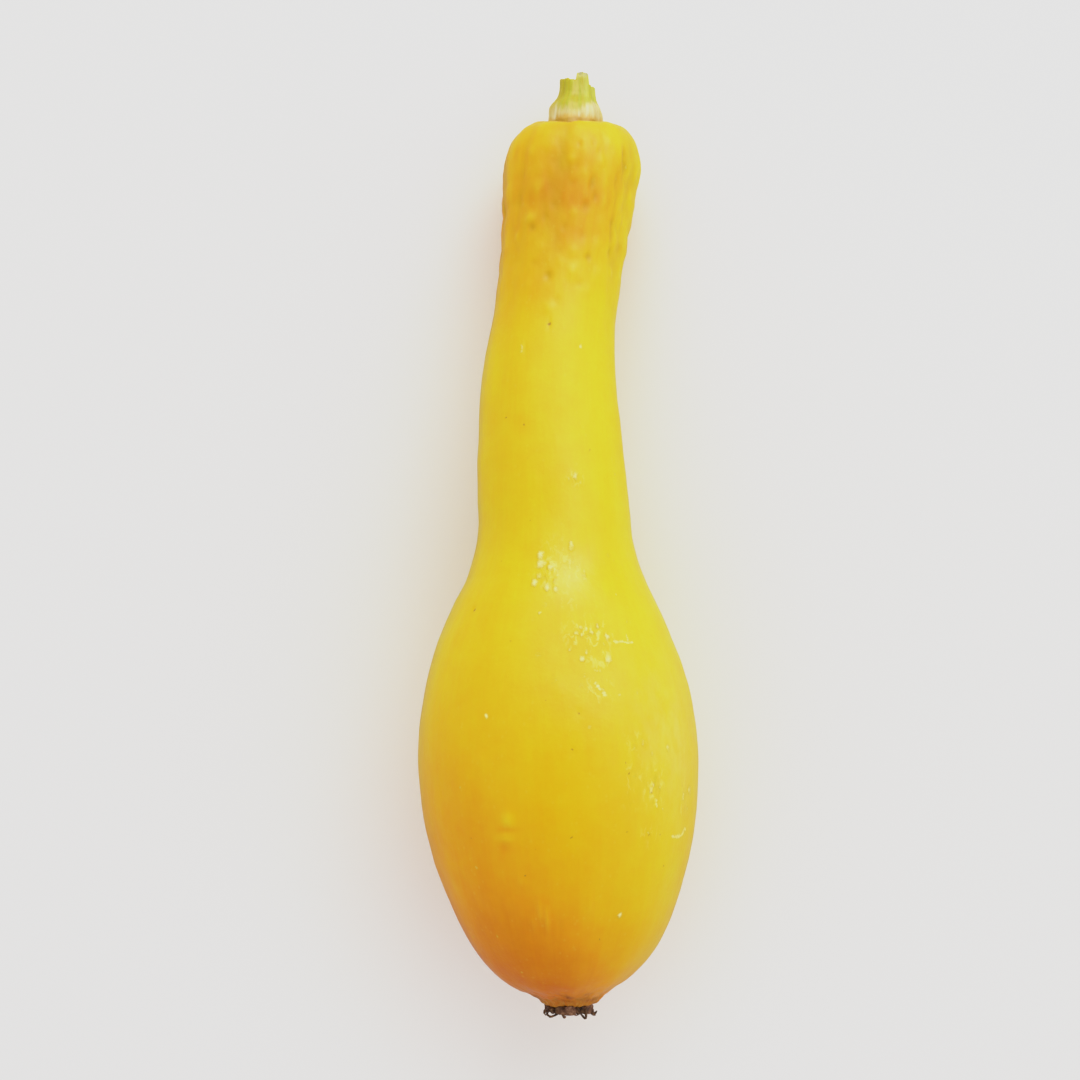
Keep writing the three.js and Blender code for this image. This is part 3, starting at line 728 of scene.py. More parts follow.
def make_stem():
    around, up_rings, top_rings = 220, 110, 46
    at, along, side, up = (v[0] for v in core_at([STEM_AT]))
    at = at + side * STEM_ASIDE
    prof = np.array([
        [5.4, -1.3], [5.75, -0.6], [6.22, 0.1], [6.38, 0.7], [6.36, 1.4], [6.33, 2.2], [6.28, 3.4], [6.12, 4.6], [5.84, 5.6],
        [5.42, 6.45], [4.95, 7.15], [4.58, 7.9], [4.34, 8.8], [4.22, 10.1], [4.18, 11.7], [4.12, 13.3]])
    hh = np.linspace(0, 1, up_rings) ** 0.95
    ang = np.arange(around) * 2 * math.pi / around
    # Height of the break where it meets the side, column by column.
    ex, ez = 4.1 * np.cos(ang), 4.1 * np.sin(ang)
    edge = stem_top(ex, ez)
    edge = edge + 0.16 * noise(np.stack([np.cos(ang) * 7, np.sin(ang) * 7, ang * 0], 1), 71) + 0.07 * noise(np.stack([np.cos(ang) * 19, np.sin(ang) * 19, ang * 0], 1), 72)
    H = -1.3 + hh[:, None] * (edge + 1.3)[None, :]
    A = np.broadcast_to(ang, H.shape)
    R = np.interp(H, prof[:, 1], prof[:, 0])
    rib = sum(high * np.exp(-((((np.degrees(A) - middle + 180) % 360 - 180) / wide) ** 2)) for middle, wide, high in STEM_RIBS)
    ridge = STEM_RIB * (0.55 + 0.45 * smooth(H, 0, 3)) * (2 * np.minimum(rib, 1) - 1)
    ridge = ridge + 0.07 * np.cos(13 * A + 1.9) * smooth(H, 1, 5)
    ridge = ridge + 0.42 * np.exp(-(((H - 5.8) / 1.4) ** 2)) * np.exp(-(((np.degrees(A) - 178) / 45) ** 2))
    pts = np.stack([np.cos(A) * 3.6, np.sin(A) * 3.6, H * 0.16], -1).reshape(-1, 3)
    grain = (0.085 * noise(pts * 1.3, 73) + 0.055 * noise(pts * [2.9, 2.9, 1.5], 74) + 0.03 * noise(pts * [6, 6, 3], 75)).reshape(H.shape)
    # Toes where it spreads onto the fruit, and folds in the pale collar above them.
    toes = 0.22 * (1 - smooth(H, 0.2, 2.2)) * np.cos(10 * A + 0.8) + 0.10 * (1 - smooth(H, 0.0, 4.0)) * noise(np.stack([np.cos(A) * 5, np.sin(A) * 5, H * 0.8], -1).reshape(-1, 3), 76).reshape(H.shape)
    # Soft dents over the whole of it.
    dents = 0.16 * noise(np.stack([np.cos(A) * 1.7, np.sin(A) * 1.7, H * 0.35], -1).reshape(-1, 3), 77).reshape(H.shape)
    full = R + ridge + grain + toes + dents * smooth(H, 0.5, 4)
    # The rim of the break is worn round.
    full = full - 0.22 * smooth(hh, 0.975, 1.0)[:, None] ** 2
    X, Z = full * np.cos(A), full * np.sin(A)

    # The break itself, from the rim inwards.
    rho = np.linspace(1, 0, top_rings + 1)[1:-1]
    TX, TZ = rho[:, None] * X[-1][None, :], rho[:, None] * Z[-1][None, :]
    TH = stem_top(TX, TZ)
    q = np.stack([TX, TZ, 0 * TX], -1).reshape(-1, 3)
    fibres = (0.20 * noise(q * 1.5, 78) + 0.20 * np.abs(noise(q * 3.4, 79)) + 0.10 * noise(q * 7, 80)).reshape(TX.shape)
    hollow = 0.30 * np.exp(-((np.hypot(TX + 0.6, TZ - 0.2) / 1.3) ** 2)) * (TX < 0.1)
    blend = smooth(rho, 0.86, 0.99)[:, None]
    TH = (TH + fibres - hollow) * (1 - blend) + (H[-1][None, :] + 0.04) * blend
    TH = np.minimum(TH, 13.60)
    X, Z, H2 = np.vstack([X, TX]), np.vstack([Z, TZ]), np.vstack([H, TH])
    # It leans a little as it dries.
    X = X + 0.30 * smooth(H2, 5.0, 9.0)
    verts = at + X.reshape(-1, 1) * side + H2.reshape(-1, 1) * along + Z.reshape(-1, 1) * up
    rows = len(X)
    mid = at + (stem_top(np.array([0.0]), np.array([0.0]))[0] - 0.2) * along + 0.30 * side
    foot = at - 1.3 * along
    faces = [f[::-1] for f in grid_faces(rows, around)]
    n = rows * around
    faces += [[j, (j + 1) % around, n] for j in range(around)]
    faces += [[(rows - 1) * around + (j + 1) % around, (rows - 1) * around + j, n + 1] for j in range(around)]
    verts = np.vstack([verts, foot, mid])
    obj = new_piece("squash_stem", verts, [f[::-1] for f in faces], stem_material(), "stem_stub")

    Af = np.broadcast_to(ang, X.shape).ravel()
    Hf = H2.ravel()
    top = np.repeat(np.arange(rows) >= up_rings, around)
    Xf, Zf = X.ravel(), Z.ravel()
    # Where the green gives way to the cream collar: low in front, in a point, and higher on the right.
    face = np.degrees(Af)
    dip = np.interp(face, [0, 20, 36, 50, 67, 76, 85, 93, 102, 121, 145, 165, 190, 225, 270, 315, 360], [6.9, 6.7, 6.5, 6.1, 5.1, 4.3, 3.5, 3.2, 3.5, 4.2, 5.5, 6.5, 6.8, 5.2, 6.5, 5.4, 6.9])
    green = 0.5 + (Hf - dip) / (3.6 + 2.4 * smooth(-np.cos(Af), -0.40, 0.10))
    greenness = np.clip(green, -0.3, 1.3)
    # Painted light: the side towards +X and a little up, where the lamps are, is paler.
    painted_light_side = np.clip(np.cos(Af - math.radians(20)), -1, 1) * 0.9 * smooth(Hf, 2, 8)
    dried = sum(np.exp(-(((Xf - x) / 0.50) ** 2 + ((Hf - h) / 0.42) ** 2 + ((Zf - z) / 1.5) ** 2)) for x, h, z in ((0.9, 13.3, 3.6), (2.25, 13.0, 3.2), (1.6, 13.2, 0.9)))
    dried = np.maximum(dried, 0.30 * smooth(-np.cos(Af), 0.80, 1.0) * smooth(Hf, 6, 9))
    dried = np.maximum(dried, 0.25 * top * (0.5 + noise(np.stack([Xf * 1.1, Zf * 1.1, 0 * Xf], 1), 82)))
    fibre = np.stack([np.where(top, Xf, np.cos(Af) * 4.3), np.where(top, Zf, np.sin(Af) * 4.3), np.where(top, 0, Hf)], 1)

    def put(name, values, ends):
        give(obj, name, np.concatenate([values, np.asarray(ends, float)]))

    put("greenness", greenness, [0, 1])
    put("height", Hf, [0, 13])
    put("painted_light_side", painted_light_side, [0, 0])
    bare = 0.75 * np.exp(-(((Xf - 1.3) / 0.85) ** 2 + ((Hf - 12.65) / 0.40) ** 2)) * smooth(Zf, 1.0, 2.5)
    put("cut", np.maximum(top * 0.85, bare), [0, 0.85])
    put("dried", dried, [0, 0.2])
    put("fibre", fibre, [[0, 0, 0], [0, 0, 0]])
    return obj


# ------------------------------------------------------------------ what is left of the blossom

class Shape:
    """Collects closed parts of one mesh, with a value for each vertex."""

    def __init__(self):
        self.verts, self.faces, self.pale, self.scar, self.count = [], [], [], [], 0

    def add(self, verts, faces, pale=0.0, scar=0.0):
        verts = np.asarray(verts)
        self.verts.append(verts)
        self.faces += [[i + self.count for i in f] for f in faces]
        self.pale.append(np.broadcast_to(pale, len(verts)).astype(float))
        self.scar.append(np.broadcast_to(scar, len(verts)).astype(float))
        self.count += len(verts)


def curve_through(points, count):
    """A Catmull-Rom curve through the points."""
    p = np.asarray(points, float)
    p = np.vstack([2 * p[0] - p[1], p, 2 * p[-1] - p[-2]])
    t = np.linspace(0, len(p) - 3 - 1e-6, count)
    i = t.astype(int)
    f = (t - i)[:, None]
    a, b, c, d = p[i], p[i + 1], p[i + 2], p[i + 3]
    return 0.5 * (2 * b + (c - a) * f + (2 * a - 5 * b + 4 * c - d) * f**2 + (3 * b - a - 3 * c + d) * f**3)


def strand(shape, points, radii, pale=0.0, seed=0, sides=10, count=46, flat=1.0):
    """A dried vein: a closed tube of changing thickness along a curve."""
    c = curve_through(points, count)
    t = unit(np.gradient(c, axis=0))
    n = np.cross(t[0], [0.3, 0.5, 0.8])
    n /= np.linalg.norm(n)
    rows = []
    for k in range(count):
        n = n - t[k] * np.dot(n, t[k])
        n /= np.linalg.norm(n)
        b = np.cross(t[k], n)
        g = np.arange(sides) * 2 * math.pi / sides + k * 0.11
        rows.append(np.cos(g)[:, None] * n + flat * np.sin(g)[:, None] * b)
    rows = np.array(rows)
    rad = np.interp(np.linspace(0, 1, count), np.linspace(0, 1, len(radii)), radii)
    v = c[:, None, :] + rows * rad[:, None, None]
    v = v + rows * (0.30 * rad[:, None] * noise(v.reshape(-1, 3) * 3.1, 90 + seed).reshape(count, sides))[..., None]
    ends = np.vstack([c[0] - t[0] * radii[0] * 0.7, c[-1] + t[-1] * radii[-1] * 0.9])
    faces = grid_faces(count, sides)
    m = count * sides
    faces += [[(j + 1) % sides, j, m] for j in range(sides)]
    faces += [[m - sides + j, m - sides + (j + 1) % sides, m + 1] for j in range(sides)]
    shape.add(np.vstack([v.reshape(-1, 3), ends]), faces, pale)


def leaf(shape, edge_a, edge_b, thick, pale, seed, cockle=0.18, nu=26, nv=14):
    """A scrap of dried petal between two edge curves, crumpled, with thickness."""
    a, b = curve_through(edge_a, nu), curve_through(edge_b, nu)
    w = np.linspace(0, 1, nv)[None, :, None]
    g = a[:, None, :] * (1 - w) + b[:, None, :] * w
    du, dv = np.gradient(g, axis=0), np.gradient(g, axis=1)
    n = unit(np.cross(du, dv))
    flat = g.reshape(-1, 3)
    lift = (cockle * noise(flat * 0.9, 110 + seed) + cockle * 0.6 * noise(flat * 2.1, 111 + seed) + cockle * 0.3 * noise(flat * 4.5, 112 + seed)).reshape(nu, nv)
    g = g + n * lift[..., None]
    # Thin at its edges.
    u = np.linspace(-1, 1, nu)[:, None]
    v = np.linspace(-1, 1, nv)[None, :]
    t = thick * (0.25 + 0.75 * np.sqrt(np.clip((1 - u**8) * (1 - v**8), 0, 1)))
    top, bottom = g + n * t[..., None] / 2, g - n * t[..., None] / 2
    verts = np.vstack([top.reshape(-1, 3), bottom.reshape(-1, 3)])
    m = nu * nv
    faces = []
    for i in range(nu - 1):
        for j in range(nv - 1):
            q = [i * nv + j, (i + 1) * nv + j, (i + 1) * nv + j + 1, i * nv + j + 1]
            faces += [q, [k + m for k in q[::-1]]]
    rim = [i * nv for i in range(nu)] + [(nu - 1) * nv + j for j in range(1, nv)] + [i * nv + nv - 1 for i in range(nu - 2, -1, -1)] + [j for j in range(nv - 2, 0, -1)]
    for k in range(len(rim)):
        p, q = rim[k], rim[(k + 1) % len(rim)]
        faces.append([p, p + m, q + m, q][::-1])
    shape.add(verts, faces, pale)


def make_blossom():
    around = 200
    s = Shape()
    ang = np.arange(around) * 2 * math.pi / around
    circle = np.stack([np.cos(ang), np.sin(ang), 0 * ang], 1)
    rim = 1.42 + 0.26 * noise(circle * 2.6, 101) + 0.20 * noise(circle * 6.5, 102) + 0.10 * noise(circle * 15, 103)
    wall = [  # radius, height as a share of the rim's, roughness
        (4.55, -0.45, 0.0), (4.95, -0.25, 0.3), (5.15, 0.0, 0.6), (5.28, 0.18, 1.0), (5.26, 0.36, 1.2), (5.14, 0.52, 1.2), (5.16, 0.68, 1.3),
        (5.06, 0.84, 1.3), (4.98, 0.95, 1.1), (4.82, 1.0, 0.9), (4.64, 0.97, 0.9), (4.52, 0.84, 1.0), (4.46, 0.66, 1.0), (4.40, 0.5, 0.9),
        (4.25, 0.40, 0.8), (3.95, 0.34, 0.7), (3.5, 0.33, 0.7), (3.0, 0.36, 0.7), (2.5, 0.37, 0.7), (2.0, 0.36, 0.6), (1.55, 0.36, 0.5),
        (1.2, 0.44, 0.5), (1.0, 0.62, 0.5), (0.85, 0.82, 0.5), (0.62, 0.95, 0.5), (0.35, 0.98, 0.4), (0.14, 0.96, 0.3)]
    verts, pale, scar = [], [], []
    for r, h, rough in wall:
        height = h * (rim if r > 4.3 else 1.42)
        q = np.stack([r * np.cos(ang), r * np.sin(ang), height + 0 * ang], 1)
        folds = 0.13 * np.cos(9 * ang + 0.6) + 0.16 * noise(q * [1.2, 1.2, 0.5], 104) + 0.09 * noise(q * [3.2, 3.2, 1.2], 105)
        d = rough * folds * (1 if r > 4.0 else 0.25)
        rr = r + d
        hh = height + (0.10 * noise(q * 2.4, 106) + 0.05 * noise(q * 6, 107)) * rough
        if 1.3 < r < 4.3:  # radial wrinkles round the scar
            hh = hh + 0.09 * np.cos(26 * ang + 2.5 * noise(q * 0.7, 108)) * math.exp(-((r - 3.1) / 1.1) ** 2)
        verts.append(np.stack([0.93 * rr * np.cos(ang) + 0.34, hh, rr * np.sin(ang)], 1))
        pale.append(np.clip(0.10 + 0.55 * noise(circle * 1.4 + r * 0.1, 109) + (0.10 if 0.3 < h < 0.7 and r > 4.9 else 0), 0, 1) + 0 * ang)
        scar.append(np.full(around, 0.75 * math.exp(-((r - 2.4) / 1.3) ** 2) if r < 4.2 else 0.0))
    rows = len(wall)
    base, tip = [[0, -0.45, 0]], [[0, 1.36, 0]]
    v = np.vstack(verts + base + tip)
    faces = grid_faces(rows, around)
    m = rows * around
    faces += [[(j + 1) % around, j, m] for j in range(around)]
    faces += [[m - around + j, m - around + (j + 1) % around, m + 1] for j in range(around)]
    s.add(v, faces, np.concatenate(pale + [[0, 0]]), np.concatenate(scar + [[0, 0]]))

    # Dried veins and threads, as [towards +X, outwards, upwards].
    for k, (points, radii, tone) in enumerate(STRANDS):
        strand(s, points, radii, tone, k)
    for k, (one, two, thick, tone) in enumerate(SCRAPS):
        leaf(s, one, two, thick, tone, k)

    at, along, side, up = (q[0] for q in core_at([CUP_AT]))
    v = np.vstack(s.verts)
    world = at + v[:, :1] * side - v[:, 1:2] * along + v[:, 2:3] * up
    obj = new_piece("dried_blossom", world, s.faces, blossom_material(), "withered_blossom")
    give(obj, "pale", np.concatenate(s.pale))
    give(obj, "scar", np.concatenate(s.scar))
    return obj


STRANDS = [
    # the loop on the left
    ([[-3.5, 0.1, 4.1], [-4.2, 0.5, 3.6], [-4.75, 0.95, 3.3], [-4.80, 1.45, 3.3], [-4.2, 1.95, 3.4], [-3.4, 1.75, 3.6], [-2.7, 1.35, 3.8], [-2.3, 0.8, 4.2]],
     [0.36, 0.34, 0.28, 0.25, 0.25, 0.24, 0.26, 0.30], 0.0),
    # the fork on the right
    ([[1.9, 0.3, 4.8], [2.2, 0.8, 4.7], [2.7, 1.5, 4.7], [3.25, 2.15, 4.6], [3.55, 2.10, 4.4], [3.62, 1.3, 4.1], [3.60, 0.3, 3.8]],
     [0.36, 0.28, 0.24, 0.27, 0.28, 0.27, 0.32], 0.0),
    # the hook at the far right
    ([[4.4, 0.5, 1.6], [4.8, 1.0, 1.7], [5.05, 1.45, 1.9], [5.4, 1.70, 2.1], [5.75, 1.35, 2.3], [6.05, 1.0, 2.4]],
     [0.36, 0.36, 0.40, 0.38, 0.24, 0.12], 0.0),
    # underneath
    ([[-1.2, 0.9, -4.6], [-1.7, 1.7, -5.0], [-1.1, 2.4, -5.0], [-0.2, 2.1, -4.5], [0.1, 1.0, -4.6]], [0.26, 0.2, 0.2, 0.2, 0.25], 0.1),
    ([[3.2, 0.9, -3.4], [3.9, 1.6, -3.9], [4.2, 2.2, -3.3], [3.6, 2.5, -2.6]], [0.26, 0.2, 0.18, 0.1], 0.05),
    ([[-4.2, 0.9, -2.2], [-4.9, 1.5, -2.7], [-5.4, 2.0, -2.2], [-5.1, 2.4, -1.4]], [0.26, 0.22, 0.18, 0.08], 0.1),
    # short ends of threads round the ring
    ([[-1.0, 0.9, 4.75], [-1.35, 1.5, 4.8], [-1.15, 1.95, 4.9], [-0.8, 1.75, 4.8]], [0.26, 0.30, 0.26, 0.14], 0.2),
    ([[0.6, 0.8, 4.9], [0.9, 1.25, 5.0], [1.5, 1.5, 4.9], [2.1, 1.3, 4.6]], [0.18, 0.16, 0.14, 0.16], 0.25),
    ([[1.6, -0.4, 5.3], [1.9, 0.2, 5.35], [1.8, 0.8, 5.2], [2.3, 1.2, 4.9]], [0.10, 0.16, 0.18, 0.16], 0.0),
    ([[2.5, -0.5, 5.0], [2.7, 0.1, 5.05], [2.5, 0.7, 4.9], [2.1, 1.1, 4.8]], [0.08, 0.16, 0.16, 0.14], 0.0),
    ([[-4.7, -0.9, 3.1], [-4.6, -0.3, 3.3], [-4.2, 0.3, 3.4], [-3.6, 0.8, 3.5]], [0.12, 0.30, 0.34, 0.30], 0.1),
    ([[-5.0, 0.8, -0.4], [-5.5, 1.3, -0.6], [-5.6, 1.8, -0.1]], [0.22, 0.16, 0.07], 0.2),
    ([[1.2, 0.9, -4.7], [1.6, 1.6, -4.9], [2.3, 1.9, -4.6], [2.6, 2.3, -4.9]], [0.2, 0.15, 0.13, 0.06], 0.1),
    ([[4.7, 0.8, -1.2], [5.3, 1.2, -1.4], [5.5, 1.8, -1.1]], [0.2, 0.15, 0.07], 0.2),
]

SCRAPS = [  # two edges, thickness, how pale
    ([[3.6, -0.7, 3.9], [4.3, -0.6, 3.0], [4.9, -0.5, 1.9]], [[3.9, 1.5, 3.5], [4.6, 1.6, 2.6], [5.0, 1.5, 1.4]], 0.30, 0.95),
    ([[-4.9, -0.6, 2.3], [-4.4, -0.8, 3.1], [-3.6, -0.7, 3.9]], [[-4.9, 0.7, 1.9], [-4.5, 0.8, 2.8], [-3.5, 0.9, 3.6]], 0.28, 0.45),
    ([[-0.9, -0.4, 5.25], [0.2, -0.5, 5.35], [1.3, -0.4, 5.2]], [[-1.1, 1.5, 5.0], [0.1, 1.6, 5.1], [1.4, 1.4, 4.95]], 0.26, 0.70),
    ([[-3.0, -0.3, 4.35], [-2.2, -0.4, 4.8], [-1.4, -0.3, 5.1]], [[-3.1, 1.2, 4.0], [-2.3, 1.35, 4.5], [-1.5, 1.3, 4.8]], 0.26, 0.30),
    ([[-5.3, -0.3, -1.6], [-5.1, -0.4, -2.6], [-4.4, -0.3, -3.4]], [[-5.2, 1.6, -1.5], [-5.0, 1.8, -2.4], [-4.2, 1.5, -3.2]], 0.26, 0.60),
    ([[2.2, -0.3, -4.9], [3.2, -0.4, -4.3], [4.1, -0.3, -3.4]], [[2.1, 1.5, -4.7], [3.0, 1.7, -4.1], [3.9, 1.4, -3.2]], 0.26, 0.75),
    ([[-1.9, -0.2, -5.0], [-0.9, -0.3, -5.3], [0.2, -0.2, -5.3]], [[-1.9, 1.4, -4.8], [-0.8, 1.6, -5.0], [0.3, 1.3, -5.1]], 0.26, 0.35),
]

CREASES = [  # angle round the head, depth, how far down it reaches
    [96, 0.15, 84], [62, 0.07, 86], [79, 0.05, 88], [116, 0.08, 84], [131, 0.10, 82], [158, 0.12, 80], [186, 0.20, 82], [213, 0.14, 84],
    [241, 0.20, 80], [268, 0.16, 84], [296, 0.20, 82], [322, 0.14, 84], [349, 0.16, 81], [17, 0.12, 83], [40, 0.09, 84]]

# Towards the blossom end, which faces away from the light, the deeper orange is partly the skin's own and partly
# painted shade.
WARMTH = np.array([  # [distance along, how orange the skin is there]
    [-104, 1.0], [-92, 0.84], [-78, 0.615], [-60, 0.44], [-30, 0.25], [0, 0.20], [42, 0.23], [58, 0.36], [74, 0.50], [84, 0.42],
    [91, 0.31], [97, 0.28]])

LEFT_SIDE = np.array([  # [distance along, millimetres outwards] on the -X side, then the +X side
    [-97, -0.10], [-92.7, -0.06], [-88.4, -0.22], [-84, -0.36], [-79.7, -0.46], [-75.4, -0.4], [-71, -0.26], [-66.7, -0.43],
    [-62.3, -0.37], [-57.9, -0.38], [-53.6, -0.44], [-49.2, -0.45], [-44.7, -0.47], [-40.3, -0.37], [-35.9, -0.41], [-31.4, -0.22],
    [-27, -0.09], [-22.5, 0.15], [-18, 0.07], [-13.5, 0.01], [-9, -0.54], [-4.5, -0.52], [0, -0.61], [4.5, -0.59], [9.1, -0.2],
    [13.6, -0.27], [18.2, -0.17], [22.7, -0.44], [27.3, -0.38], [31.9, -0.19], [36.5, -0.15], [41.2, -0.17], [45.8, -0.43],
    [50.5, -0.62], [55.2, -0.39], [56.1, -0.37], [58, -0.43], [59.8, -0.46], [61.7, -0.21], [63.6, -0.17], [65.5, -0.35], [67.4, -0.28],
    [69.3, -0.09], [71.2, -0.2], [73.1, -0.31], [75, 0.2], [76.8, 0.39], [78.7, 0.21], [80.6, 0.3], [82.5, 0.31], [84.4, 0.36],
    [86.3, 0.38], [88.2, 0.27], [90.1, 0.08], [92.1, -0.06], [94, -0.06],])
RIGHT_SIDE = np.array([
    [-97, -0.17], [-92.7, -0.03], [-88.4, 0.08], [-84, 0.07], [-79.7, -0.08], [-75.4, -0.12], [-71, 0.09], [-66.7, 0.08],
    [-62.3, -0.06], [-57.9, -0.14], [-53.6, -0.12], [-49.2, -0.08], [-44.7, -0.15], [-40.3, -0.15], [-35.9, -0.04], [-31.4, -0.09],
    [-27, -0.03], [-22.5, -0.13], [-18, 0.04], [-13.5, -0.01], [-9, -0.24], [-4.5, -0.43], [0, -0.5], [4.5, -0.1], [9.1, 0.01],
    [13.6, 0.02], [18.2, -0.11], [22.7, -0.02], [27.3, 0.04], [31.9, -0.2], [36.5, -0.2], [41.2, -0.2], [45.8, -0.24], [50.5, -0.33],
    [55.2, -0.19], [56.1, -0.16], [58, -0.06], [59.8, -0.16], [61.7, -0.34], [63.6, -0.34], [65.5, -0.28], [67.4, 0.01], [69.3, -0.14],
    [71.2, -0.34], [73.1, -0.22], [75, -0.26], [76.8, -0.28], [78.7, -0.19], [80.6, -0.42], [82.5, -0.46], [84.4, -0.12], [86.3, 0.20],
    [88.2, 0.24], [90.1, 0.26], [92.1, 0.30], [94, 0.12],])

# Places on the fruit are given as [distance along it, angle round it in degrees with 90 on top, ...].
# Warts and pits: [.., .., height, half length, half width].
HEAD_MARKS = [
    [86.9, 84.5, -0.12, 0.58, 0.4], [87.6, 73, -0.1, 0.58, 0.4], [86.2, 67.8, -0.08, 0.67, 0.45], [83.6, 90.5, 0.16, 0.89, 0.71],
    [83.9, 64.2, 0.16, 1.34, 0.76], [79, 70.2, -0.24, 1.56, 0.58], [75.9, 66, -0.2, 1.12, 0.58], [73.2, 73.5, -0.24, 1.23, 0.76],
    [78.1, 87.5, -0.1, 0.67, 0.56], [86.4, 42, -0.2, 1.58, 0.54], [84.3, 38.2, -0.22, 1.02, 0.68], [80.7, 47, -0.2, 2.48, 0.59],
    [76.8, 43, -0.18, 2.03, 0.59], [71.4, 42.8, -0.2, 2.03, 0.54], [68.2, 41, -0.22, 1.35, 0.63], [62.1, 65, -0.22, 0.8, 0.67],
    [64.8, 40, -0.2, 1.13, 0.59], [56.6, 99, -0.2, 0.89, 0.71], [67.5, 119.3, -0.2, 0.9, 0.76], [69.7, 121.2, 0.22, 1.01, 0.9],
    [67.8, 89.5, -0.14, 0.89, 0.58], [72.7, 100.8, -0.1, 0.89, 0.67], [76.9, 116.7, 0.14, 1.57, 1.01], [80.8, 117, 0.12, 1.34, 0.9],
    [58, 77.5, 0.15, 1.33, 0.89], [49.3, 95.5, 0.12, 1.11, 0.89], [79.6, 59.3, 0.2, 2.24, 0.81], [75.1, 56, 0.16, 2.02, 0.76],
    [70.5, 58, 0.14, 1.79, 0.9], [77.5, 34, 0.12, 2.27, 0.73], [72.7, 30.8, 0.12, 1.59, 0.68], [65.5, 56.8, 0.16, 1.34, 0.81],
    [66.4, 73.2, -0.1, 1.11, 0.67], [62.9, 79, 0.1, 1.11, 0.89], [59.6, 50.5, 0.12, 1.34, 0.9], [62.4, 90.5, -0.08, 0.89, 0.67],
    [63.1, 109, 0.1, 1.11, 0.89], [74.1, 135.5, -0.1, 1.8, 0.56], [65.9, 136, 0.12, 0.9, 0.68], [51.1, 89.2, -0.08, 0.89, 0.66],
    [54.9, 59.3, 0.1, 1.11, 0.89], [60.7, 34.5, 0.1, 0.9, 0.59], [80.8, 104.2, 0.05, 1.79, 1.12], [74.7, 90.5, 0.06, 2.01, 1.11],
    [82, 84.8, -0.08, 1.12, 0.54], [80.6, 78.2, 0.12, 1.12, 0.67], [89, 58.2, 0.12, 1.13, 0.9], [86.7, 109.8, 0.1, 1.57, 0.9],
    [85.3, 126, 0.1, 1.35, 0.9], [79.7, 133.8, -0.08, 1.35, 0.56], [69.9, 108, -0.1, 0.78, 0.67], [71.4, 83, 0.12, 0.89, 0.76],
    [59.7, 88.8, 0.08, 0.89, 0.89], [55.6, 69.8, -0.08, 0.78, 0.67], [59.4, 114, -0.08, 0.78, 0.67], [54.5, 117.5, 0.08, 0.89, 0.76],
]
BULB_MARKS = [
    [-60.6, 111.5, 0.20, 1.30, 1.20], [-62.5, 112, -0.10, 0.60, 1.50], [-64.2, 112.6, 0.15, 0.80, 1.70], [-66.2, 114.5, -0.12, 0.80, 1.00], [-79.9, 101.5, 0.2, 2.49, 0.62], [-81.6, 98.3, 0.22, 2.91, 0.58],
    [-82.7, 105.2, 0.12, 1.67, 0.63], [-83.7, 92, -0.1, 2.08, 0.62], [-46.7, 84.8, -0.14, 0.54, 0.54], [-39, 82, -0.12, 0.5, 0.5],
    [-49.8, 63.5, -0.1, 0.42, 0.42], [-52.2, 62, -0.1, 0.42, 0.42], [-64.2, 62.8, -0.1, 0.42, 0.42], [-65.4, 51.8, -0.1, 0.42, 0.42],
    [-65.4, 45.2, -0.1, 0.42, 0.42], [-64.7, 86.2, -0.1, 0.45, 0.45], [-16.2, 138, -0.16, 0.52, 0.52], [-57.1, 88.5, 0.08, 1.03, 1.03],
    [-71.6, 74.8, 0.1, 1.24, 0.83], [-73.1, 109, 0.1, 1.45, 0.83], [-78.6, 78.2, 0.12, 1.87, 0.62], [-48.5, 121.5, 0.08, 1.25, 1.04],
    [-34.1, 89, 0.06, 1.25, 1.04], [-36.5, 55.2, 0.08, 1.05, 0.84], [-33.8, 113.5, 0.07, 1.05, 0.84], [45.7, 93, -0.18, 0.77, 0.4],
    [40.1, 115.5, 0.12, 1.11, 0.29], [40, 112, -0.1, 1.1, 0.27], [23.6, 110.5, -0.08, 0.53, 0.35], [25.5, 126.5, -0.08, 0.48, 0.35],
    [19.7, 86, 0.05, 1.31, 0.65], [24.5, 57.5, 0.06, 1.54, 0.66], [11.3, 102.2, 0.06, 1.3, 0.65], [6.9, 54.2, 0.06, 1.53, 0.66],
]
# Crinkled skin: [.., .., half length, half width, strength].
CRINKLES = [
    [-22.2, 74.2, 3.58, 5.06, 1], [-33.8, 72.8, 3.34, 2.92, 0.75], [-8.7, 94, 3.43, 2.57, 0.9], [-7.5, 80.5, 5.15, 2.57, 0.5],
    [-55, 50.3, 4.2, 2.94, 0.75], [-45.4, 57.2, 2.51, 3.34, 0.45], [-58.6, 29.8, 3.86, 1.72, 0.7], [11.5, 73.2, 1.52, 1.96, 0.6],
    [-26.8, 71, 3.36, 2.94, 0.7], [-2.9, 90, 2.15, 2.58, 0.35], [-65.3, 51.8, 2.09, 2.93, 0.4], [-14.9, 85, 2.97, 3.82, 0.3],
    [-52.5, 60, 3.0, 3.2, 0.45], [-57, 61, 2.5, 2.5, 0.35],
]
